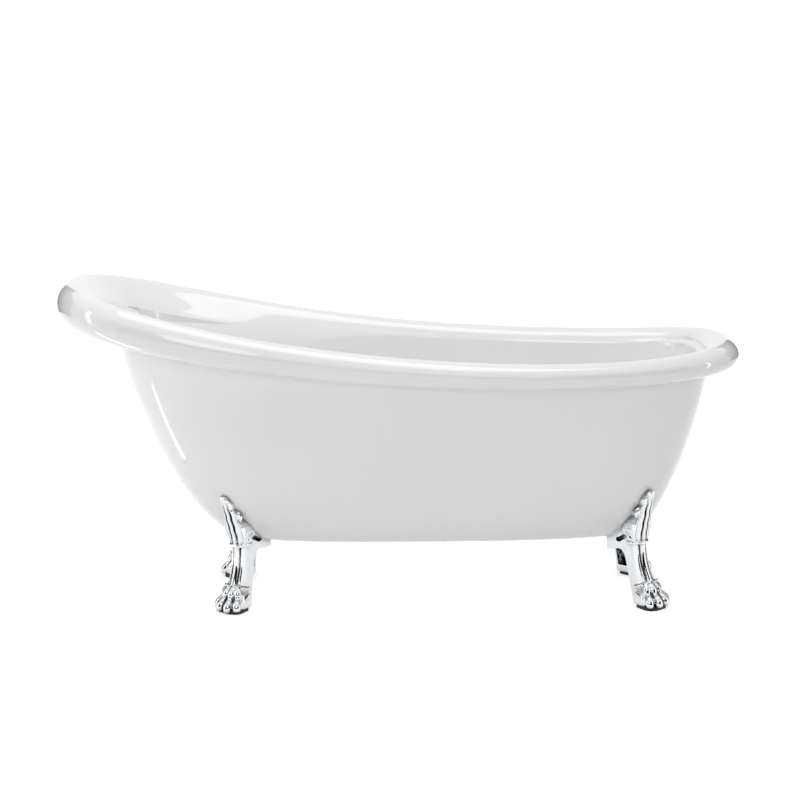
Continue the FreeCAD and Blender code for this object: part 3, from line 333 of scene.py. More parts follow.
class Station:
    """One place along the rim: its point, its outward direction and the roll there."""

    def __init__(self, angle):
        sizes = bpy.context.scene.bath_sizes
        rim_low, rim_high = in_mm(sizes.rim_low), in_mm(sizes.rim_high)
        step = 1e-3
        self.angle = angle
        self.point = rim_point(angle)
        along = rim_point(angle + step) - rim_point(angle - step)
        self.out = Vector((along.y, -along.x, 0)).normalized()
        self.high = self.out.x ** 2 if self.out.x < 0 else 0
        self.low = self.out.x ** 2 if self.out.x > 0 else 0
        side = 1 - self.high - self.low
        self.half = (in_mm(sizes.roll_half) * side + in_mm(sizes.roll_high) * self.high
                     + RIM["half_low"] * self.low)
        climb = max((self.point.z - rim_low) / (rim_high - rim_low), 0)
        climb = climb ** RIM["rise_power"] if self.point.x < RIM["low_at"] else 0
        self.rise = (RIM["rise"] + (RIM["rise_high"] - RIM["rise"]) * climb
                     + (RIM["rise_low"] - RIM["rise"]) * self.low)
        self.skirt_angle = self.match_skirt()

    def match_skirt(self):
        """The angle at which the skirt lies straight inwards of this place on the rim."""
        along = Vector((-self.out.y, self.out.x, 0))
        reach = skirt_reach(self.point.z - self.rise / 2, 0)
        spread, halvings = 0.9, 40
        low, high = self.angle - spread, self.angle + spread
        for _ in range(halvings):
            middle = (low + high) / 2
            at = oval(SKIRT["middle"], *reach, SKIRT["power"], middle, self.point.z)
            if (at - self.point).dot(along) < 0:
                low = middle
            else:
                high = middle
        return low

    def roll(self, degrees):
        """A point of the roll: 0 degrees faces outwards, 90 is the crown, 180 the inside."""
        lean = math.radians(RIM["tilt"] * self.high)
        out = self.half * math.cos(math.radians(degrees))
        up = self.rise * math.sin(math.radians(degrees))
        shift = out * math.cos(lean) + up * math.sin(lean)
        lift = up * math.cos(lean) - out * math.sin(lean)
        return self.point + self.out * shift + Vector((0, 0, lift))

    def skirt(self, height, inset=0):
        return oval(SKIRT["middle"], *skirt_reach(height, inset), SKIRT["power"],
                    self.skirt_angle, height)

    def hang(self):
        """From 0 where the roll sits on the skirt to 1 where it hangs well outside it."""
        beyond = skirt_share(self.roll(RIM["start"]), skins_room()) - 1
        return min(max(beyond / SKIRT["hung_beyond"], self.high, 0), 1)

    def skirt_top(self):
        return self.point.z - (SKIRT["edge"] + SKIRT["edge_hung"] * self.hang()) * self.rise

    def roll_start(self):
        return RIM["start"] - (RIM["start"] - RIM["start_high"]) * self.high

    def wall(self, share):
        """A point of the inner wall, from the floor's edge to the roll."""
        top = self.roll(self.roll_start())
        reach = (FLOOR["low"] - FLOOR["high"]) / 2
        foot = oval(FLOOR["high"] + reach, reach, reach, FLOOR["half"], FLOOR["power"],
                    self.angle, FLOOR["top"])
        power = (FLOOR["side"] * (1 - self.low - self.high) + FLOOR["front"] * self.low
                 + FLOOR["back"] * self.high)
        flare = FLOOR["flare"] * self.high
        spread = (1 - flare) * bulge(share, power) + flare * share ** FLOOR["flare_power"]
        at = foot + (top - foot) * spread
        at.z = foot.z + (top.z - foot.z) * share
        return self.inside_skirt(at)

    def inside_skirt(self, at):
        """Draw a point of the wall in where it would touch the skirt, but not above its edge."""
        clear = clamp((at.z - self.skirt_top() - DRAW_IN["ease_from"]) / DRAW_IN["ease_over"])
        ratio = skirt_share(at, skins_room()) / (1 + DRAW_IN["ease"] * clear ** 2)
        drawn = (1 + ratio ** DRAW_IN["crisp"]) ** (-1 / DRAW_IN["crisp"])
        middle = SKIRT["middle"]
        return Vector((middle + (at.x - middle) * drawn, at.y * drawn, at.z))

    def lip(self):
        return self.skirt(self.point.z - SKIRT["lip"] * self.rise, -SKIRT["gap"])


def rim_stations(count):
    """Stations round the rim, closer together where it turns."""
    fine, bend_weight = 4000, 400
    track = [rim_point(TURN * (i + 0.5) / fine) for i in range(fine + 2)]
    run = [0.0]
    for before, here, after in zip(track, track[1:], track[2:]):
        first, second = (here - before).xy, (after - here).xy
        run.append(run[-1] + first.length + bend_weight * abs(first.angle(second, 0)))
    found, at = [], 0
    for k in range(count):
        goal = run[-1] * (k + 0.5) / count
        while run[at + 1] < goal:
            at += 1
        rest = (goal - run[at]) / (run[at + 1] - run[at])
        found.append(Station(TURN * (at + 0.5 + rest) / fine))
    return found


def blend_rings(start, end, steps):
    """Rings evenly between two, both of them left out."""
    return [[a.lerp(b, (k + 1) / (steps + 1)) for a, b in zip(start, end)] for k in range(steps)]


def skirt_rings(stations, shares):
    """Rings round the skirt's face, at shares of the way from its base to its edge."""
    return [[s.skirt(SKIRT["foot"] + (s.skirt_top() - SKIRT["foot"]) * share) for s in stations]
            for share in shares]


def circle_ring(stations, middle, radius, height):
    """A ring round a point, its points in step with the rim's stations."""
    return [Vector((middle.x + radius * math.cos(s.angle), middle.y + radius * math.sin(s.angle),
                    height)) for s in stations]


# ---------------------------------------------------------------- finishes

def cast_acrylic():
    """Cast acrylic, polished: white, deep gloss from a clear hard face, faint sheet waviness."""
    colours = bpy.context.scene.bath_colours
    material, tree, shader, where = patterned_material("cast_acrylic")
    # the sheet's thickness varies over a hand's width, which moves its reflections a little
    drift = add_node(tree, "TexNoise", Vector=where, Detail=0.0, Scale=pattern_scale(200))
    bump = add_node(tree, "Bump", Height=drift, Strength=0.05, Distance=0.002)
    # wiping leaves the gloss a touch uneven
    haze = add_node(tree, "TexNoise", Vector=where, Scale=pattern_scale(29.4), Detail=4.0)
    gloss = add_node(tree, "MapRange", Value=haze, To__Min=0.06, To__Max=0.10)
    tone = add_node(tree, "MixRGB", Fac=drift, Color1=colours.acrylic, Color2=linear("#EDEDED"))
    set_inputs(tree, shader, Base__Color=tone, Roughness=gloss, Normal=bump, IOR=1.49,
               Coat__Weight=0.35, Coat__Roughness=0.03)
    return material


def chrome_plate():
    """Bright chrome over a polished casting: mirror gloss, with painted shade and a softer gloss
    in the recesses.
    """
    colours = bpy.context.scene.bath_colours
    material, tree, shader, where = patterned_material("chrome_plate")
    # buffing leaves slow ripples about 12 mm apart
    ripple = add_node(tree, "TexNoise", Vector=where, Scale=pattern_scale(12.5), Detail=1.0)
    bump = add_node(tree, "Bump", Height=ripple, Strength=0.08, Distance=0.0005)
    # painted shade: ambient occlusion darkens the plate where walls stand within 20 mm of each
    # other; the buff can't reach there either, so the same mask also leaves it duller
    reach = add_node(tree, "AmbientOcclusion", {"samples": 6}, Distance=0.020)
    painted_shade_mask = add_node(tree, "MapRange", Value=reach.outputs["AO"], From__Min=0.30,
                          From__Max=0.90)
    # painted shade: near black where the occlusion is deep, the plate's own colour in the open
    tone = add_node(tree, "MixRGB", Fac=painted_shade_mask, Color1=linear("#202224"), Color2=colours.plate)
    dull = add_node(tree, "MapRange", Value=painted_shade_mask, To__Min=0.24, To__Max=0.045)
    set_inputs(tree, shader, Base__Color=tone, Roughness=dull, Normal=bump, Metallic=1.0)
    return material


def zinc_plate():
    """Bright zinc on turned and pressed steel: grey, half dull, with faint spangle."""
    material, tree, shader, where = patterned_material("zinc_plate")
    spangle = add_node(tree, "TexVoronoi", Vector=where, Scale=pattern_scale(6.25))
    tone = add_node(tree, "MixRGB", Fac=spangle, Color1=linear("#B9BABA"),
                    Color2=linear("#9FA1A1"))
    rough = add_node(tree, "MapRange", Value=spangle, To__Min=0.28, To__Max=0.42)
    set_inputs(tree, shader, Base__Color=tone, Roughness=rough, Metallic=1.0)
    return material


def moulded_rubber():
    """Black moulded rubber: matt, with a fine pebble from the mould and a little dust."""
    colours = bpy.context.scene.bath_colours
    material, tree, shader, where = patterned_material("moulded_rubber")
    pebble = add_node(tree, "TexNoise", Vector=where, Scale=pattern_scale(1.11), Detail=2.0)
    dust = add_node(tree, "TexNoise", Vector=where, Scale=pattern_scale(33.3), Detail=3.0)
    bump = add_node(tree, "Bump", Height=pebble, Strength=0.25, Distance=0.0004)
    tone = add_node(tree, "MixRGB", Fac=dust, Color1=colours.rubber, Color2=linear("#232323"))
    set_inputs(tree, shader, Base__Color=tone, Normal=bump, Roughness=0.62)
    return material


def moulded_plastic():
    """White polypropylene fittings: satin from the mould, slightly grey."""
    material, tree, shader, where = patterned_material("moulded_plastic")
    skin = add_node(tree, "TexNoise", Vector=where, Scale=pattern_scale(2.38), Detail=2.0)
    bump = add_node(tree, "Bump", Height=skin, Strength=0.12, Distance=0.0003)
    cloud = add_node(tree, "TexNoise", Vector=where, Scale=pattern_scale(71.4), Detail=2.0)
    tone = add_node(tree, "MixRGB", Fac=cloud, Color1=linear("#DEDDD9"), Color2=linear("#E6E5E1"))
    set_inputs(tree, shader, Base__Color=tone, Normal=bump, Roughness=0.42)
    return material


def birch_ply():
    """Birch plywood: pale, with long grain along the board."""
    material, tree, shader, where = patterned_material("birch_ply")
    # along the board, across it and through its plies
    scales = [pattern_scale(spacing) for spacing in (166.7, 11.1, 4.17)]
    stretched = add_node(tree, "Mapping", Vector=where, Scale=scales)
    grain = add_node(tree, "TexNoise", Vector=stretched, Scale=1.0, Detail=5.0)
    tone = add_node(tree, "MixRGB", Fac=grain, Color1=linear("#C9A877"), Color2=linear("#E2C79B"))
    bump = add_node(tree, "Bump", Height=grain, Strength=0.2, Distance=0.0004)
    set_inputs(tree, shader, Base__Color=tone, Normal=bump, Roughness=0.6)
    return material


def turned_brass():
    """Turned brass: yellow, with fine rings left by the tool."""
    material, tree, shader, where = patterned_material("turned_brass")
    rings = add_node(tree, "TexWave", {"bands_direction": "Z"}, Vector=where,
                     Scale=pattern_scale(1.67))
    bump = add_node(tree, "Bump", Height=rings.outputs["Fac"], Strength=0.15, Distance=0.0002)
    set_inputs(tree, shader, Normal=bump, Base__Color=linear("#C9A24E"), Metallic=1.0,
               Roughness=0.24)
    return material


FINISHES = {"enamel": cast_acrylic, "chrome_casting": chrome_plate, "chrome": chrome_plate,
            "zinc": zinc_plate, "galvanised": zinc_plate, "rubber": moulded_rubber,
            "grey_plastic": moulded_plastic, "board": birch_ply, "brass": turned_brass}
made_finishes = {}


def finish(slot):
    maker = FINISHES[slot]
    if maker not in made_finishes:
        made_finishes[maker] = maker()
    return made_finishes[maker]


# ---------------------------------------------------------------- bath

# where the rows of the two skins lie, as shares of the way up, closer where the walls turn
WALL_ROWS = (0, 0.015, 0.035, 0.065, 0.1, 0.15, 0.21, 0.28, 0.36, 0.45, 0.55, 0.65, 0.74, 0.82,
             0.87, 0.91, 0.94, 0.965, 0.985, 1)
SKIRT_ROWS = (0, 0.0015, 0.005, 0.01, 0.018, 0.03, 0.045, 0.065, 0.09, 0.12, 0.16, 0.21, 0.27,
              0.34, 0.42, 0.51, 0.6, 0.7, 0.8, 0.9, 1)
FLOOR_ROWS, BASE_ROWS, ROLL_ROWS, LIP_ROWS = 9, 8, 30, 2
# the eased shoulders: metres from the middle and from the floor where they begin and the
# metres over which they grow, the rows over the roll's start that they reach, and the passes
SHOULDERS = {"from": 0.02, "over": 0.30, "low": 0.34, "rise": 0.12, "last_row": 9, "rows": 7,
             "passes": 60}
CREASE = 50


class BATH_OT_basin(bpy.types.Operator):
    """Basin: one sheet from the floor over the roll to the lip on the skirt"""
    bl_idname = "bath.basin"
    bl_label = "Basin"

    def execute(self, context):
        sizes = context.scene.bath_sizes
        stations = rim_stations(sizes.around)
        drain = circle_ring(stations, DRAIN, DRAIN_HOLE, FLOOR["top"])
        wall = [[s.wall(share) for s in stations] for share in WALL_ROWS]
        rings = [drain] + blend_rings(drain, wall[0], FLOOR_ROWS) + wall
        roll_row = len(rings)
        for k in range(1, ROLL_ROWS + 1):
            rings.append([s.roll(s.roll_start() + (RIM["end"] - s.roll_start()) * k / ROLL_ROWS)
                          for s in stations])
        lip = [s.lip() for s in stations]
        rings += blend_rings(rings[-1], lip, LIP_ROWS) + [lip]
        piece = extruded_rings("basin_skin", rings)
        self.ease_shoulders(piece, roll_row)
        thicken(piece, sizes.sheet, 1)
        smooth(piece, CREASE)
        finish_piece(piece, finish("enamel"), "enamel", "bath", "basin")
        return {"FINISHED"}

    @staticmethod
    def ease_shoulders(piece, roll_row):
        """Flow the wall into the roll at the slipper end, where the roll stands well outside."""
        group = piece.vertex_groups.new(name="shoulders")
        rows = piece.data.attributes["row"].data
        for vert, row in zip(piece.data.vertices, rows):
            towards_head = clamp((-vert.co.x - SHOULDERS["from"]) / SHOULDERS["over"])
            above_floor = clamp((vert.co.z - SHOULDERS["low"]) / SHOULDERS["rise"])
            below_crown = clamp((roll_row + SHOULDERS["last_row"] - row.value)
                                / SHOULDERS["rows"])
            group.add([vert.index], towards_head * above_floor * below_crown, "REPLACE")
        apply_modifier(piece, "SMOOTH", factor=0.5, iterations=SHOULDERS["passes"],
                       vertex_group=group.name)
        piece.vertex_groups.clear()


class BATH_OT_skirt(bpy.types.Operator):
    """Skirt: the outer shell with its flat base and the opening under the waste"""
    bl_idname = "bath.skirt"
    bl_label = "Skirt"

    def execute(self, context):
        sizes = context.scene.bath_sizes
        stations = rim_stations(sizes.around)
        side = skirt_rings(stations, SKIRT_ROWS)
        opening = circle_ring(stations, DRAIN, BASE_OPENING, SKIRT["foot"])
        rings = [opening] + blend_rings(opening, side[0], BASE_ROWS) + side
        piece = extruded_rings("skirt_skin", rings)
        thicken(piece, sizes.sheet, -1)
        smooth(piece, CREASE)
        finish_piece(piece, finish("enamel"), "enamel", "bath", "outer_shell")
        return {"FINISHED"}


# ---------------------------------------------------------------- feet

def mirrored(half_points, z):
    """A level ring from its left half, front to back."""
    points = half_points + [(u, -v) for u, v in reversed(half_points)]
    return [Vector((u, v, z)) for u, v in points]


def shin_ring(front, back, half, z):
    """Shin: a half-round ridge, a deep flute, a second ridge and a flat cheek each side."""
    r = half * 0.43
    ridge = [(front - r + r * math.cos(a), max(r * math.sin(a), 0.4))
             for a in (0.06, 0.35, 0.7, 1.05, 1.4)]
    flute = front - r - 4.0
    small = (half - r - 2.6) / 2
    middle = half - small
    second = [(flute + 1.0 + (small + 1.2) * math.sin(a), middle - small * math.cos(a))
              for a in (0.15, 0.6, 1.1, 1.6, 2.1, 2.6)]
    side = [(front - r - 2.0, r + 0.4), (flute, r + 1.3)] + second + [(flute - 1.5, half)]
    return mirrored(ridge + side + [((flute + back) / 2, half + 0.8), (back, half)], z)


def lofted(name, rings):
    return extruded_rings(name, rings, close_start=True, close_end=True)


def spline(points, count):
    """Points along a smooth curve through the given ones."""
    found = []
    last = len(points) - 1
    for k in range(count):
        t = last * k / (count - 1)
        i = min(int(t), last - 1)
        f = t - i
        a, b = points[max(i - 1, 0)], points[i]
        c, d = points[i + 1], points[min(i + 2, last)]
        found.append(tuple(
            0.5 * (2 * q + (r - p) * f + (2 * p - 5 * q + 4 * r - s) * f * f
                   + (3 * q - p - 3 * r + s) * f ** 3)
            for p, q, r, s in zip(a, b, c, d)))
    return found


def blob(name, path, sides=20):
    """A soft form along a path of places and half sizes: (u, v, z, across, deep)."""
    rings = []
    for k, (u, v, z, across, deep) in enumerate(path):
        before = Vector(path[max(k - 1, 0)][:3])
        after = Vector(path[min(k + 1, len(path) - 1)][:3])
        run = (after - before).normalized()
        side = Vector((0, 1, 0)).cross(run)
        wide = Vector((0, 1, 0)) if side.length < 0.05 else run.cross(side.normalized())
        deep_way = wide.cross(run).normalized()
        wide = run.cross(deep_way)
        rings.append([Vector((u, v, z)) + wide * (across * math.cos(TURN * i / sides))
                      + deep_way * (deep * math.sin(TURN * i / sides)) for i in range(sides)])
    return lofted(name, rings)


def toe_path(angle, reach):
    """One toe: up from the foot, over a knuckle, down a fold to the ball."""
    turn = math.radians(angle)
    steps = [(16, 64, 6.5, 6), (27, 62.5, 8.6, 7.6), (37, 57, 9.6, 8.6), (44, 49, 9.4, 8.4),
             (47.5, 41, 7.7, 6.6), (51, 35, 8.0, 7.0), (56, 29, 10.0, 9.6), (61, 22, 11.2, 10.6),
             (64, 15, 10.4, 10), (66.5, 10, 8, 8), (68, 6.8, 5, 5)]
    path = []
    for far, z, across, deep in spline(steps, 34):
        far = far * reach
        path.append((far * math.cos(turn) - 6, far * math.sin(turn), z, across, deep))
    return path


LEAF_OUTLINE = ((164, 22), (172, 27), (180, 30.5), (190, 33), (202, 34), (214, 33), (224, 30),
                (231, 25), (236, 21.5), (241, 23.5), (247, 26.5), (253, 25.5), (259, 19.5),
                (264, 15.5), (269, 17), (276, 18), (284, 16), (290, 13.5), (296, 10), (300, 5))
LEAF_FRONT = ((164, 8.5), (185, 11), (210, 17), (240, 25), (270, 33), (284, 38.5), (293, 43),
              (300, 43.5))
LEAF_BACK = ((164, -30), (190, -38), (215, -38), (235, -28), (255, -18), (275, -6), (290, 6),
             (300, 20))


def along_table(table, z):
    for (z0, a), (z1, b) in zip(table, table[1:]):
        if z <= z1:
            f = (z - z0) / (z1 - z0)
            return a + (b - a) * (f * f * (3 - 2 * f))
    return table[-1][1]


def leaf_ring(z):
    """Leaf: a round rib, a deep channel, a second rib and a dished lobe with a raised rim."""
    front, half = along_table(LEAF_FRONT, z), along_table(LEAF_OUTLINE, z)
    back = along_table(LEAF_BACK, z)
    share = clamp((z - 166) / 134)
    deep = 12.0 * math.sin(math.pi * min(share * 1.06 + 0.06, 1)) ** 0.6
    rib = 5.4 - 2.0 * share
    fit = min(half / (rib + 15), 1)
    second = (rib + 10) * fit
    lobe = half - second
    points = [(front, 0.4), (front - 0.5, rib * fit * 0.55), (front - 2.4, rib * fit),
              (front - 1.2 - deep, (rib + 2.2) * fit), (front - 1.2 - deep, (rib + 5.4) * fit),
              (front - 3.4, second - 1.6 * fit), (front - 2.8, second),
              (front - 3.8, second + 1.6 * fit), (front - 9.5, second + lobe * 0.35),
              (front - 10, second + lobe * 0.65), (front - 7.6, second + lobe * 0.86),
              (front - 9.6, half), (front - 18, half), (back, half * 0.92)]
    return mirrored(points, z)


def side_plate(name, corners, half):
    """A plate in the foot's side plane, that far to both sides of its middle."""
    return lofted(name, [[Vector((u, side, z)) for u, z in corners] for side in (-half, half)])


def cut_away(piece, tool):
    apply_modifier(piece, "BOOLEAN", object=tool, operation="DIFFERENCE", solver="EXACT")
    bpy.data.objects.remove(tool)


def cylinder_between(name, start, end, radius, sides=32):
    run = (end - start).normalized()
    side = run.orthogonal().normalized()
    other = run.cross(side)
    rings = [[at + side * (radius * math.cos(TURN * i / sides))
              + other * (radius * math.sin(TURN * i / sides)) for i in range(sides)]
             for at in (start, end)]
    return lofted(name, rings)


# the seat that carries the studs, behind the leaf: its slope, and a point on its face
SEAT_SLOPE = math.radians(32)
SEAT_AT = (-81, 150)
STUDS_AT = (-48, -70)
CHEEK = 21.0


def seat_point(u, depth=0.0):
    normal = Vector((-math.sin(SEAT_SLOPE), 0, math.cos(SEAT_SLOPE)))
    height = SEAT_AT[1] + (u - SEAT_AT[0]) * math.tan(SEAT_SLOPE)
    return Vector((u, 0, height)) + normal * depth


def remesh(piece):
    apply_modifier(piece, "REMESH", mode="VOXEL", adaptivity=0.0,
                   voxel_size=bpy.context.scene.foot_sizes.grain)


def shin():
    """Shin: from the paw up into the collar, thinner and further back as it rises."""
    rows = spline([(36, -20, 22.5, 54), (30, -20, 22, 64), (22.5, -20, 21.4, 80),
                   (13, -18, 21, 108), (8.5, -16, 21, 135), (7.4, -16, 22, 158),
                   (7.4, -16, 22.5, 168)], 40)
    return lofted("shin", [shin_ring(*row) for row in rows])


def leaf():
    low, high, steps = LEAF_OUTLINE[0][0], LEAF_OUTLINE[-1][0], 80
    return lofted("leaf", [leaf_ring(low + (high - low) * k / steps) for k in range(steps + 1)])


def collar():
    """Collar: a bead round the join of shin and leaf."""
    half = [(0.6, 0.5), (0, 6), (-2.6, 13), (-6.6, 18.5), (-11.6, 22), (-22, 24.2), (-38, 24.7)]
    front, middle, rise, swell, steps = 8, 166, 5.0, 4.0, 10
    rings = []
    for k in range(steps + 1):
        around = math.pi * k / steps
        grow = swell * math.sin(around)
        rings.append(mirrored([(front + u + grow, max(v + (grow if v > 1 else 0), 0.4))
                               for u, v in half], middle - rise * math.cos(around)))
    return lofted("collar", rings)


def leaf_curls():
    """A scroll at the root of each lobe, and a bud in the notch."""
    for side in (-1, 1):
        yield blob("scroll", [(-8, side * 22, 171, 2, 2), (-11, side * 28, 176, 5.5, 4.5),
                              (-16, side * 31.5, 184, 6.5, 5), (-21, side * 31, 192, 5, 4),
                              (-24, side * 29, 198, 1.5, 1.5)], 16)
        yield blob("bud", [(2, side * 19, 229, 2, 2), (4, side * 23, 236, 6, 5),
                           (6, side * 25, 245, 7, 6), (8, side * 23.5, 253, 5.5, 5),
                           (9.5, side * 21, 259, 1.5, 1.5)], 16)


def paw():
    """Paw: wide at the front for the toes, from the sole up into the shin."""
    rows = spline([(40, -15, 28, 34, 8), (44, -16, 30, 39, 16), (43, -17, 29.5, 39, 28),
                   (38, -19, 27, 34, 42), (31, -21, 24, 26, 56), (25, -22, 21, 22, 66)], 24)
    rings = []
    for front, back, half_back, half_front, z in rows:
        rings.append(mirrored([(front, 1), (front - 1, 12), (front - 5, half_front - 9),
                               (front - 12, half_front - 2), (front - 22, half_front - 1),
                               ((front + back) / 2 - 8, (half_front + half_back) / 2 - 1),
                               (back + 10, half_back), (back + 2, half_back - 3),
                               (back, half_back - 9)], z))
    return lofted("paw", rings)


def folds():
    """The fold between shin and paw ends in a tongue on each side."""
    for side in (-1, 1):
        yield blob("fold", [(32, side * 10, 69, 2, 2), (28, side * 18, 68, 5, 4),
                            (17, side * 23.5, 63, 5.5, 4), (4, side * 25, 58.5, 4.5, 3.5),
                            (-8, side * 24, 56.5, 1.2, 1.2)], 16)


CASTING_BODY = ((20, 56), (9, 80), (-1, 108), (-6, 135), (-8, 163), (-8, 190), (0, 215),
                (10, 250), (-6, 262), (-60, 250), (-94, 215), (-92, 148), (-80, 142), (-62, 147),
                (-50, 145), (-42, 136), (-37.5, 122), (-31, 88), (-25, 55), (-17, 10), (30, 10))
SEAT_WEB = ((-96, 141), (-30, 182.2), (-30, 240), (-96, 200))
HOLLOW = ((11, 58), (1, 84), (-8, 110), (-13, 136), (-15, 163), (-14, 172), (-34, 170),
          (-96, 135), (-140, 110), (-140, 31), (12, 31))
# the slot in each cheek: its middle, the radii of its round ends and their offset from there
ARM_SLOT = {"at": (-46, 176), "radii": (11, 6), "offset": (9, 5.6), "points": 24}
TOES = ((-33, 0.95), (-11.5, 1.02), (11.5, 1.02), (33, 0.95))


def arm_slot():
    """The slot in both cheeks of the arm, over the room for the nuts' spanner."""
    corners = []
    for k in range(ARM_SLOT["points"]):
        angle = TURN * (k + 0.5) / ARM_SLOT["points"]
        end = math.copysign(1, math.cos(angle))
        corners.append(tuple(
            at + radius * way + offset * end
            for at, radius, way, offset in zip(ARM_SLOT["at"], ARM_SLOT["radii"],
                                               (math.cos(angle), math.sin(angle)),
                                               ARM_SLOT["offset"])))
    return side_plate("slot", corners, 60)


def raw_casting():
    """The casting in its own frame, +X outwards, before it is scribed to the skirt."""
    pieces = [side_plate("casting_body", CASTING_BODY, CHEEK), shin(), leaf(), collar(),
              *leaf_curls(), paw()]
    pieces += [blob("toe", toe_path(angle, reach)) for angle, reach in TOES]
    pieces += [*folds(), side_plate("seat_web", SEAT_WEB, CHEEK)]
    clear_selection()
    for piece in pieces:
        piece.select_set(True)
    casting = bpy.context.view_layer.objects.active = pieces[0]
    bpy.ops.object.join()
    remesh(casting)
    inner = CHEEK - in_mm(bpy.context.scene.foot_sizes.wall)
    cut_away(casting, side_plate("hollow", HOLLOW, inner))
    cut_away(casting, arm_slot())
    remesh(casting)
    apply_modifier(casting, "SMOOTH", factor=0.5, iterations=6)
    return casting


# how far the feet stand from the middle, and the point under a foot about which it leans
FEET_AT = {"low": 611, "high": -400, "side": 160}
LEAN_HINGE = Vector((24, 0, 12))
FEET = {"high_front": (False, False), "high_back": (False, True),
        "low_front": (True, False), "low_back": (True, True)}


def foot_frames(low_end, back):
    """Where a casting stands: upright, and leaning to follow the skirt."""
    end = 1 if low_end else -1
    side = 1 if back else -1
    at = Vector((FEET_AT["low" if low_end else "high"], side * FEET_AT["side"], 0))
    upright = Matrix.Translation(at) @ Matrix.Rotation(math.atan2(side, end), 4, "Z")
    lean = Matrix.Rotation(-end * bpy.context.scene.foot_sizes.lean, 4, "Y")
    return upright, (upright @ Matrix.Translation(LEAN_HINGE) @ lean
                     @ Matrix.Translation(-LEAN_HINGE))


def in_metres(matrix):
    """A placement in millimetres as one for a mesh in metres."""
    scaled = matrix.copy()
    scaled.translation = matrix.translation * MM
    return scaled


# rows of the solid that scribes the castings and its points in each, and the share of a
# casting's triangles that is kept
SCRIBE_ROWS = (0, 0.004, 0.012, 0.025, 0.045, 0.075, 0.11, 0.16, 0.22, 0.3, 0.4, 0.55)
SCRIBE_POINTS = 96
KEPT_SHARE = 0.55


class BATH_OT_feet(bpy.types.Operator):
    """Claw feet: one casting, leaned and scribed to the skirt at both ends, and mirrored"""
    bl_idname = "bath.feet"
    bl_label = "Claw feet"

    def execute(self, context):
        casting = raw_casting()
        rings = skirt_rings(rim_stations(SCRIBE_POINTS), SCRIBE_ROWS)
        for end in ("high", "low"):
            upright, leaning = foot_frames(*FEET[end + "_front"])
            foot = self.copied(casting, end + "_front")
            foot.data.transform(in_metres(leaning))
            cut_away(foot, lofted("skirt_solid", rings))
            for tool in self.machining(upright, leaning):
                cut_away(foot, tool)
            apply_modifier(foot, "DECIMATE", ratio=KEPT_SHARE)
            # the back foot is the front one seen in a mirror
            twin = self.copied(foot, end + "_back")
            twin.data.transform(Matrix.Diagonal((1, -1, 1, 1)))
            face_outwards(twin)
            for piece in (foot, twin):
                smooth(piece, 60)
                finish_piece(piece, finish("chrome_casting"), "chrome_casting", "bath",
                             piece.name.replace("_cast", ""))
        bpy.data.objects.remove(casting)
        return {"FINISHED"}

    @staticmethod
    def copied(piece, place):
        twin = piece.copy()
        twin.data = piece.data.copy()
        twin.name = twin.data.name = "claw_foot_cast_" + place
        bpy.context.collection.objects.link(twin)
        return twin

    @staticmethod
    def machining(upright, leaning):
        """What the casting is machined with: the sole, the stud's bore and seat, two holes."""
        stud, bore_radius, hole_radius = 10, 5.1, 5.5
        sole, lowest = 10.2, -20
        seat_low, seat_high, seat_half = 30, 42, 16

        def block(name, back, front, half, low, high):
            corners = ((back, -half), (front, -half), (front, half), (back, half))
            return lofted(name, [[upright @ Vector((u, v, z)) for u, v in corners]
                                 for z in (low, high)])

        bore = cylinder_between("bore", upright @ Vector((stud, 0, 0)),
                                upright @ Vector((stud, 0, 60)), bore_radius)
        holes = [cylinder_between("hole", leaning @ seat_point(u, -30),
                                  leaning @ seat_point(u, 60), hole_radius) for u in STUDS_AT]
        return [block("ground", -100, 57, 60, lowest, sole), bore,
                block("seat", -40, 20, seat_half, seat_low, seat_high), *holes]


class BATH_OT_pads(bpy.types.Operator):
    """Levelling pads: moulded rubber with a rounded edge, shaped to the sole"""
    bl_idname = "bath.pads"
    bl_label = "Levelling pads"

    def execute(self, context):
        outline = mirrored([(54, 19), (42, 33), (30, 35), (-4, 24), (-12, 15)], 0)
        high, edge = 10, 1.2
        for name, (low_end, back) in FEET.items():
            upright, _ = foot_frames(low_end, back)
            rings = [[upright @ Vector((p.x, p.y, z)) for p in outline] for z in (0, high)]
            pad = lofted("pad_rubber_" + name, rings)
            apply_modifier(pad, "BEVEL", width=edge * MM, segments=3, limit_method="ANGLE",
                           angle_limit=math.radians(30))
            smooth(pad, 35)
            finish_piece(pad, finish("rubber"), "rubber", "leveller_" + name, "level_pad_" + name)
        return {"FINISHED"}


class BATH_OT_finishes(bpy.types.Operator):
    """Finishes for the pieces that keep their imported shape"""
    bl_idname = "bath.finishes"
    bl_label = "Finishes"

    def execute(self, context):
        slots = {entry["node"]: entry["material_slot"] for entry in frame["record"]["subparts"]}
        for name, node in frame["nodes"].items():
            material = finish(slots[name])
            for slot in node.material_slots:
                slot.material = material
        return {"FINISHED"}


# ---------------------------------------------------------------- stage

# the lens's length is in pixels of a picture 800 wide, the angles are in degrees
CAMERA = {"target": Vector((0.0154, 0, 0.5003)), "distance": 5.9, "yaw": -1.8264,
          "pitch": 10.1821, "pixels": 2328.2, "picture": 800, "sensor": 36, "shift": -0.0061}
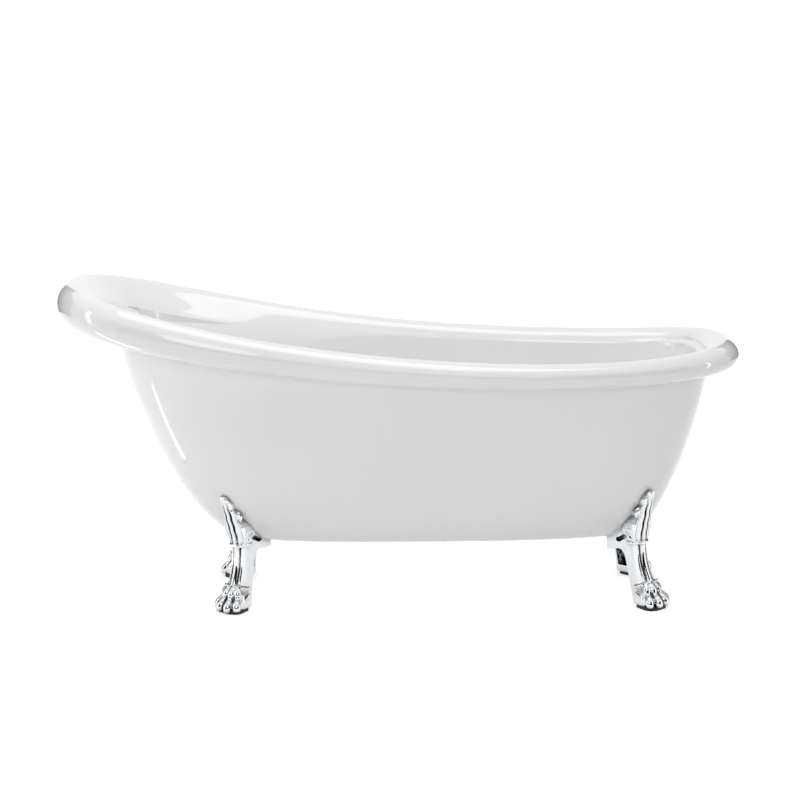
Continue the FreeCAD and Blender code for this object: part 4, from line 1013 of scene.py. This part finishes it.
# each lamp's place and aim in metres, its size and its watts: two soft boxes, then tall strips
# beside both ends and a low one on the floor, for the long streaks
LAMPS = {"lamp_top": ((-0.2, -0.5, 3.3), (0, 0, 0.3), (2.8, 2.0), 42),
         "lamp_front": ((-1.1, -3.9, 1.8), (0, 0, 0.4), (2.0, 1.6), 25),
         "strip_left": ((-3.4, -0.45, 1.12), (-0.6, 0, 0.45), (0.30, 2.1), 8.5),
         "strip_right": ((3.3, -0.9, 1.0), (0.7, 0, 0.45), (0.14, 1.8), 5),
         "strip_floor": ((-1.35, -0.1, 0.02), (-1.35, -0.1, 2), (0.75, 0.06), 1.6)}
BLACK_CARD, GREY_CARD = "#141414", "#5A5A5A"
ROOM_LIGHT, WHITE, FLOOR_GLOW = 0.43, 1.0, 0.62
FLOOR_SIZE = 14


def soft_light(name, at, aim, size, power):
    light = bpy.data.lights.new(name, "AREA")
    light.shape = "RECTANGLE"
    light.size, light.size_y = size
    light.energy = power
    holder = bpy.data.objects.new(name, light)
    bpy.context.collection.objects.link(holder)
    holder.location = at
    holder.visible_camera = False
    holder.rotation_euler = (Vector(aim) - Vector(at)).to_track_quat("-Z", "Y").to_euler()


def dark_flag(name, at, aim, size, tone=BLACK_CARD):
    """A dark card beside the set, seen only in gloss, that gives the plate its dark lines."""
    clear_selection()
    bpy.ops.mesh.primitive_plane_add(size=1)
    card = bpy.context.object
    card.name = name
    turn = (Vector(aim) - Vector(at)).to_track_quat("-Z", "Y").to_matrix().to_4x4()
    card.data.transform(Matrix.Translation(at) @ turn @ Matrix.Diagonal((*size, 1, 1)))
    material, tree, shader = new_material("dark_cloth")
    set_inputs(tree, shader, Base__Color=linear(tone), Roughness=1.0)
    card.data.materials.append(material)
    card.visible_camera = card.visible_diffuse = card.visible_shadow = False


class BATH_OT_stage(bpy.types.Operator):
    """Stage: the pale floor, the soft lamps and the camera"""
    bl_idname = "bath.stage"
    bl_label = "Stage"

    def execute(self, context):
        scene = context.scene
        scene.view_settings.view_transform = "Standard"
        self.floor()
        self.world(scene)
        for name, settings in LAMPS.items():
            soft_light(name, *settings)
        for side in (-1, 1):
            dark_flag("flag_back", (2.7 * side, 2.3, 1.2), (0.4 * side, 0, 0.4), (3.0, 2.4),
                      GREY_CARD)
            dark_flag("flag_front", (3.0 * side, -3.4, 1.3), (0.4 * side, 0, 0.3), (2.9, 2.6))
        dark_flag("flag_camera", (0.1, -5.2, 0.75), (0.1, 0, 0.5), (7.0, 1.5))
        yaw, pitch = (math.radians(CAMERA[key]) for key in ("yaw", "pitch"))
        away = Vector((math.sin(yaw) * math.cos(pitch), -math.cos(yaw) * math.cos(pitch),
                       math.sin(pitch)))
        lens = bpy.data.cameras.new("camera")
        lens.sensor_width = CAMERA["sensor"]
        lens.lens = CAMERA["sensor"] * CAMERA["pixels"] / CAMERA["picture"]
        lens.shift_x = CAMERA["shift"]
        camera = bpy.data.objects.new("camera", lens)
        context.collection.objects.link(camera)
        camera.location = CAMERA["target"] + away * CAMERA["distance"]
        camera.rotation_euler = (-away).to_track_quat("-Z", "Y").to_euler()
        scene.camera = camera
        return {"FINISHED"}

    @staticmethod
    def floor():
        clear_selection()
        bpy.ops.mesh.primitive_plane_add(size=FLOOR_SIZE)
        plane = bpy.context.object
        plane.name = "floor"
        material, tree, shader = new_material("pale_floor")
        output = shader.outputs[0].links[0].to_node
        set_inputs(tree, shader, Base__Color=bpy.context.scene.bath_colours.floor, Roughness=0.9)
        rays = add_node(tree, "LightPath")
        seen = add_node(tree, "Math", {"operation": "MAXIMUM"},
                        _0=rays.outputs["Is Camera Ray"], _1=rays.outputs["Is Glossy Ray"])
        glow = add_node(tree, "Emission", Color=(1, 1, 1, 1), Strength=FLOOR_GLOW)
        both = add_node(tree, "AddShader", _0=shader, _1=glow)
        mix = add_node(tree, "MixShader", _0=seen, _1=shader, _2=both)
        set_inputs(tree, output, _0=mix)
        plane.data.materials.append(material)

    @staticmethod
    def world(scene):
        world = bpy.data.worlds.new("studio")
        world.use_nodes = True
        tree = world.node_tree
        tree.nodes.clear()
        rays = add_node(tree, "LightPath")
        clear = add_node(tree, "Math", {"operation": "MAXIMUM"},
                         _0=rays.outputs["Is Glossy Ray"], _1=rays.outputs["Is Transmission Ray"])
        seen = add_node(tree, "Math", {"operation": "MAXIMUM"},
                        _0=rays.outputs["Is Camera Ray"], _1=clear)
        room = add_node(tree, "Background", Color=(1, 1, 1, 1), Strength=ROOM_LIGHT)
        white = add_node(tree, "Background", Color=(1, 1, 1, 1), Strength=WHITE)
        mix = add_node(tree, "MixShader", _0=seen, _1=room, _2=white)
        add_node(tree, "OutputWorld", _0=mix)
        scene.world = world


class BATH_PT_panel(bpy.types.Panel):
    """Panel with the bath's pieces"""
    bl_label = "Clawfoot bath"
    bl_idname = "BATH_PT_panel"
    bl_space_type = "VIEW_3D"
    bl_region_type = "UI"
    bl_category = "Bath"

    def draw(self, context):
        column = self.layout.column()
        for name, kind in GROUPS.items():
            for key in kind.__annotations__:
                column.prop(getattr(context.scene, name), key)
        for step in STEPS:
            column.operator(step.bl_idname)


STEPS = (BATH_OT_stage, BATH_OT_basin, BATH_OT_skirt, BATH_OT_feet, BATH_OT_pads,
         BATH_OT_finishes)
GROUPS = {"bath_sizes": BathSizes, "foot_sizes": FootSizes, "bath_colours": BathColours}
CLASSES = (*GROUPS.values(), *STEPS, BATH_PT_panel)


def register():
    for item in CLASSES:
        bpy.utils.register_class(item)
    for name, kind in GROUPS.items():
        setattr(bpy.types.Scene, name, bpy.props.PointerProperty(type=kind))


def unregister():
    for name in GROUPS:
        delattr(bpy.types.Scene, name)
    for item in reversed(CLASSES):
        bpy.utils.unregister_class(item)


def main():
    register()
    bpy.ops.bath.stage()
    bpy.ops.bath.basin()
    bpy.ops.bath.skirt()
    bpy.ops.bath.feet()
    bpy.ops.bath.pads()
    bpy.ops.bath.finishes()


if __name__ == "__main__":
    main()
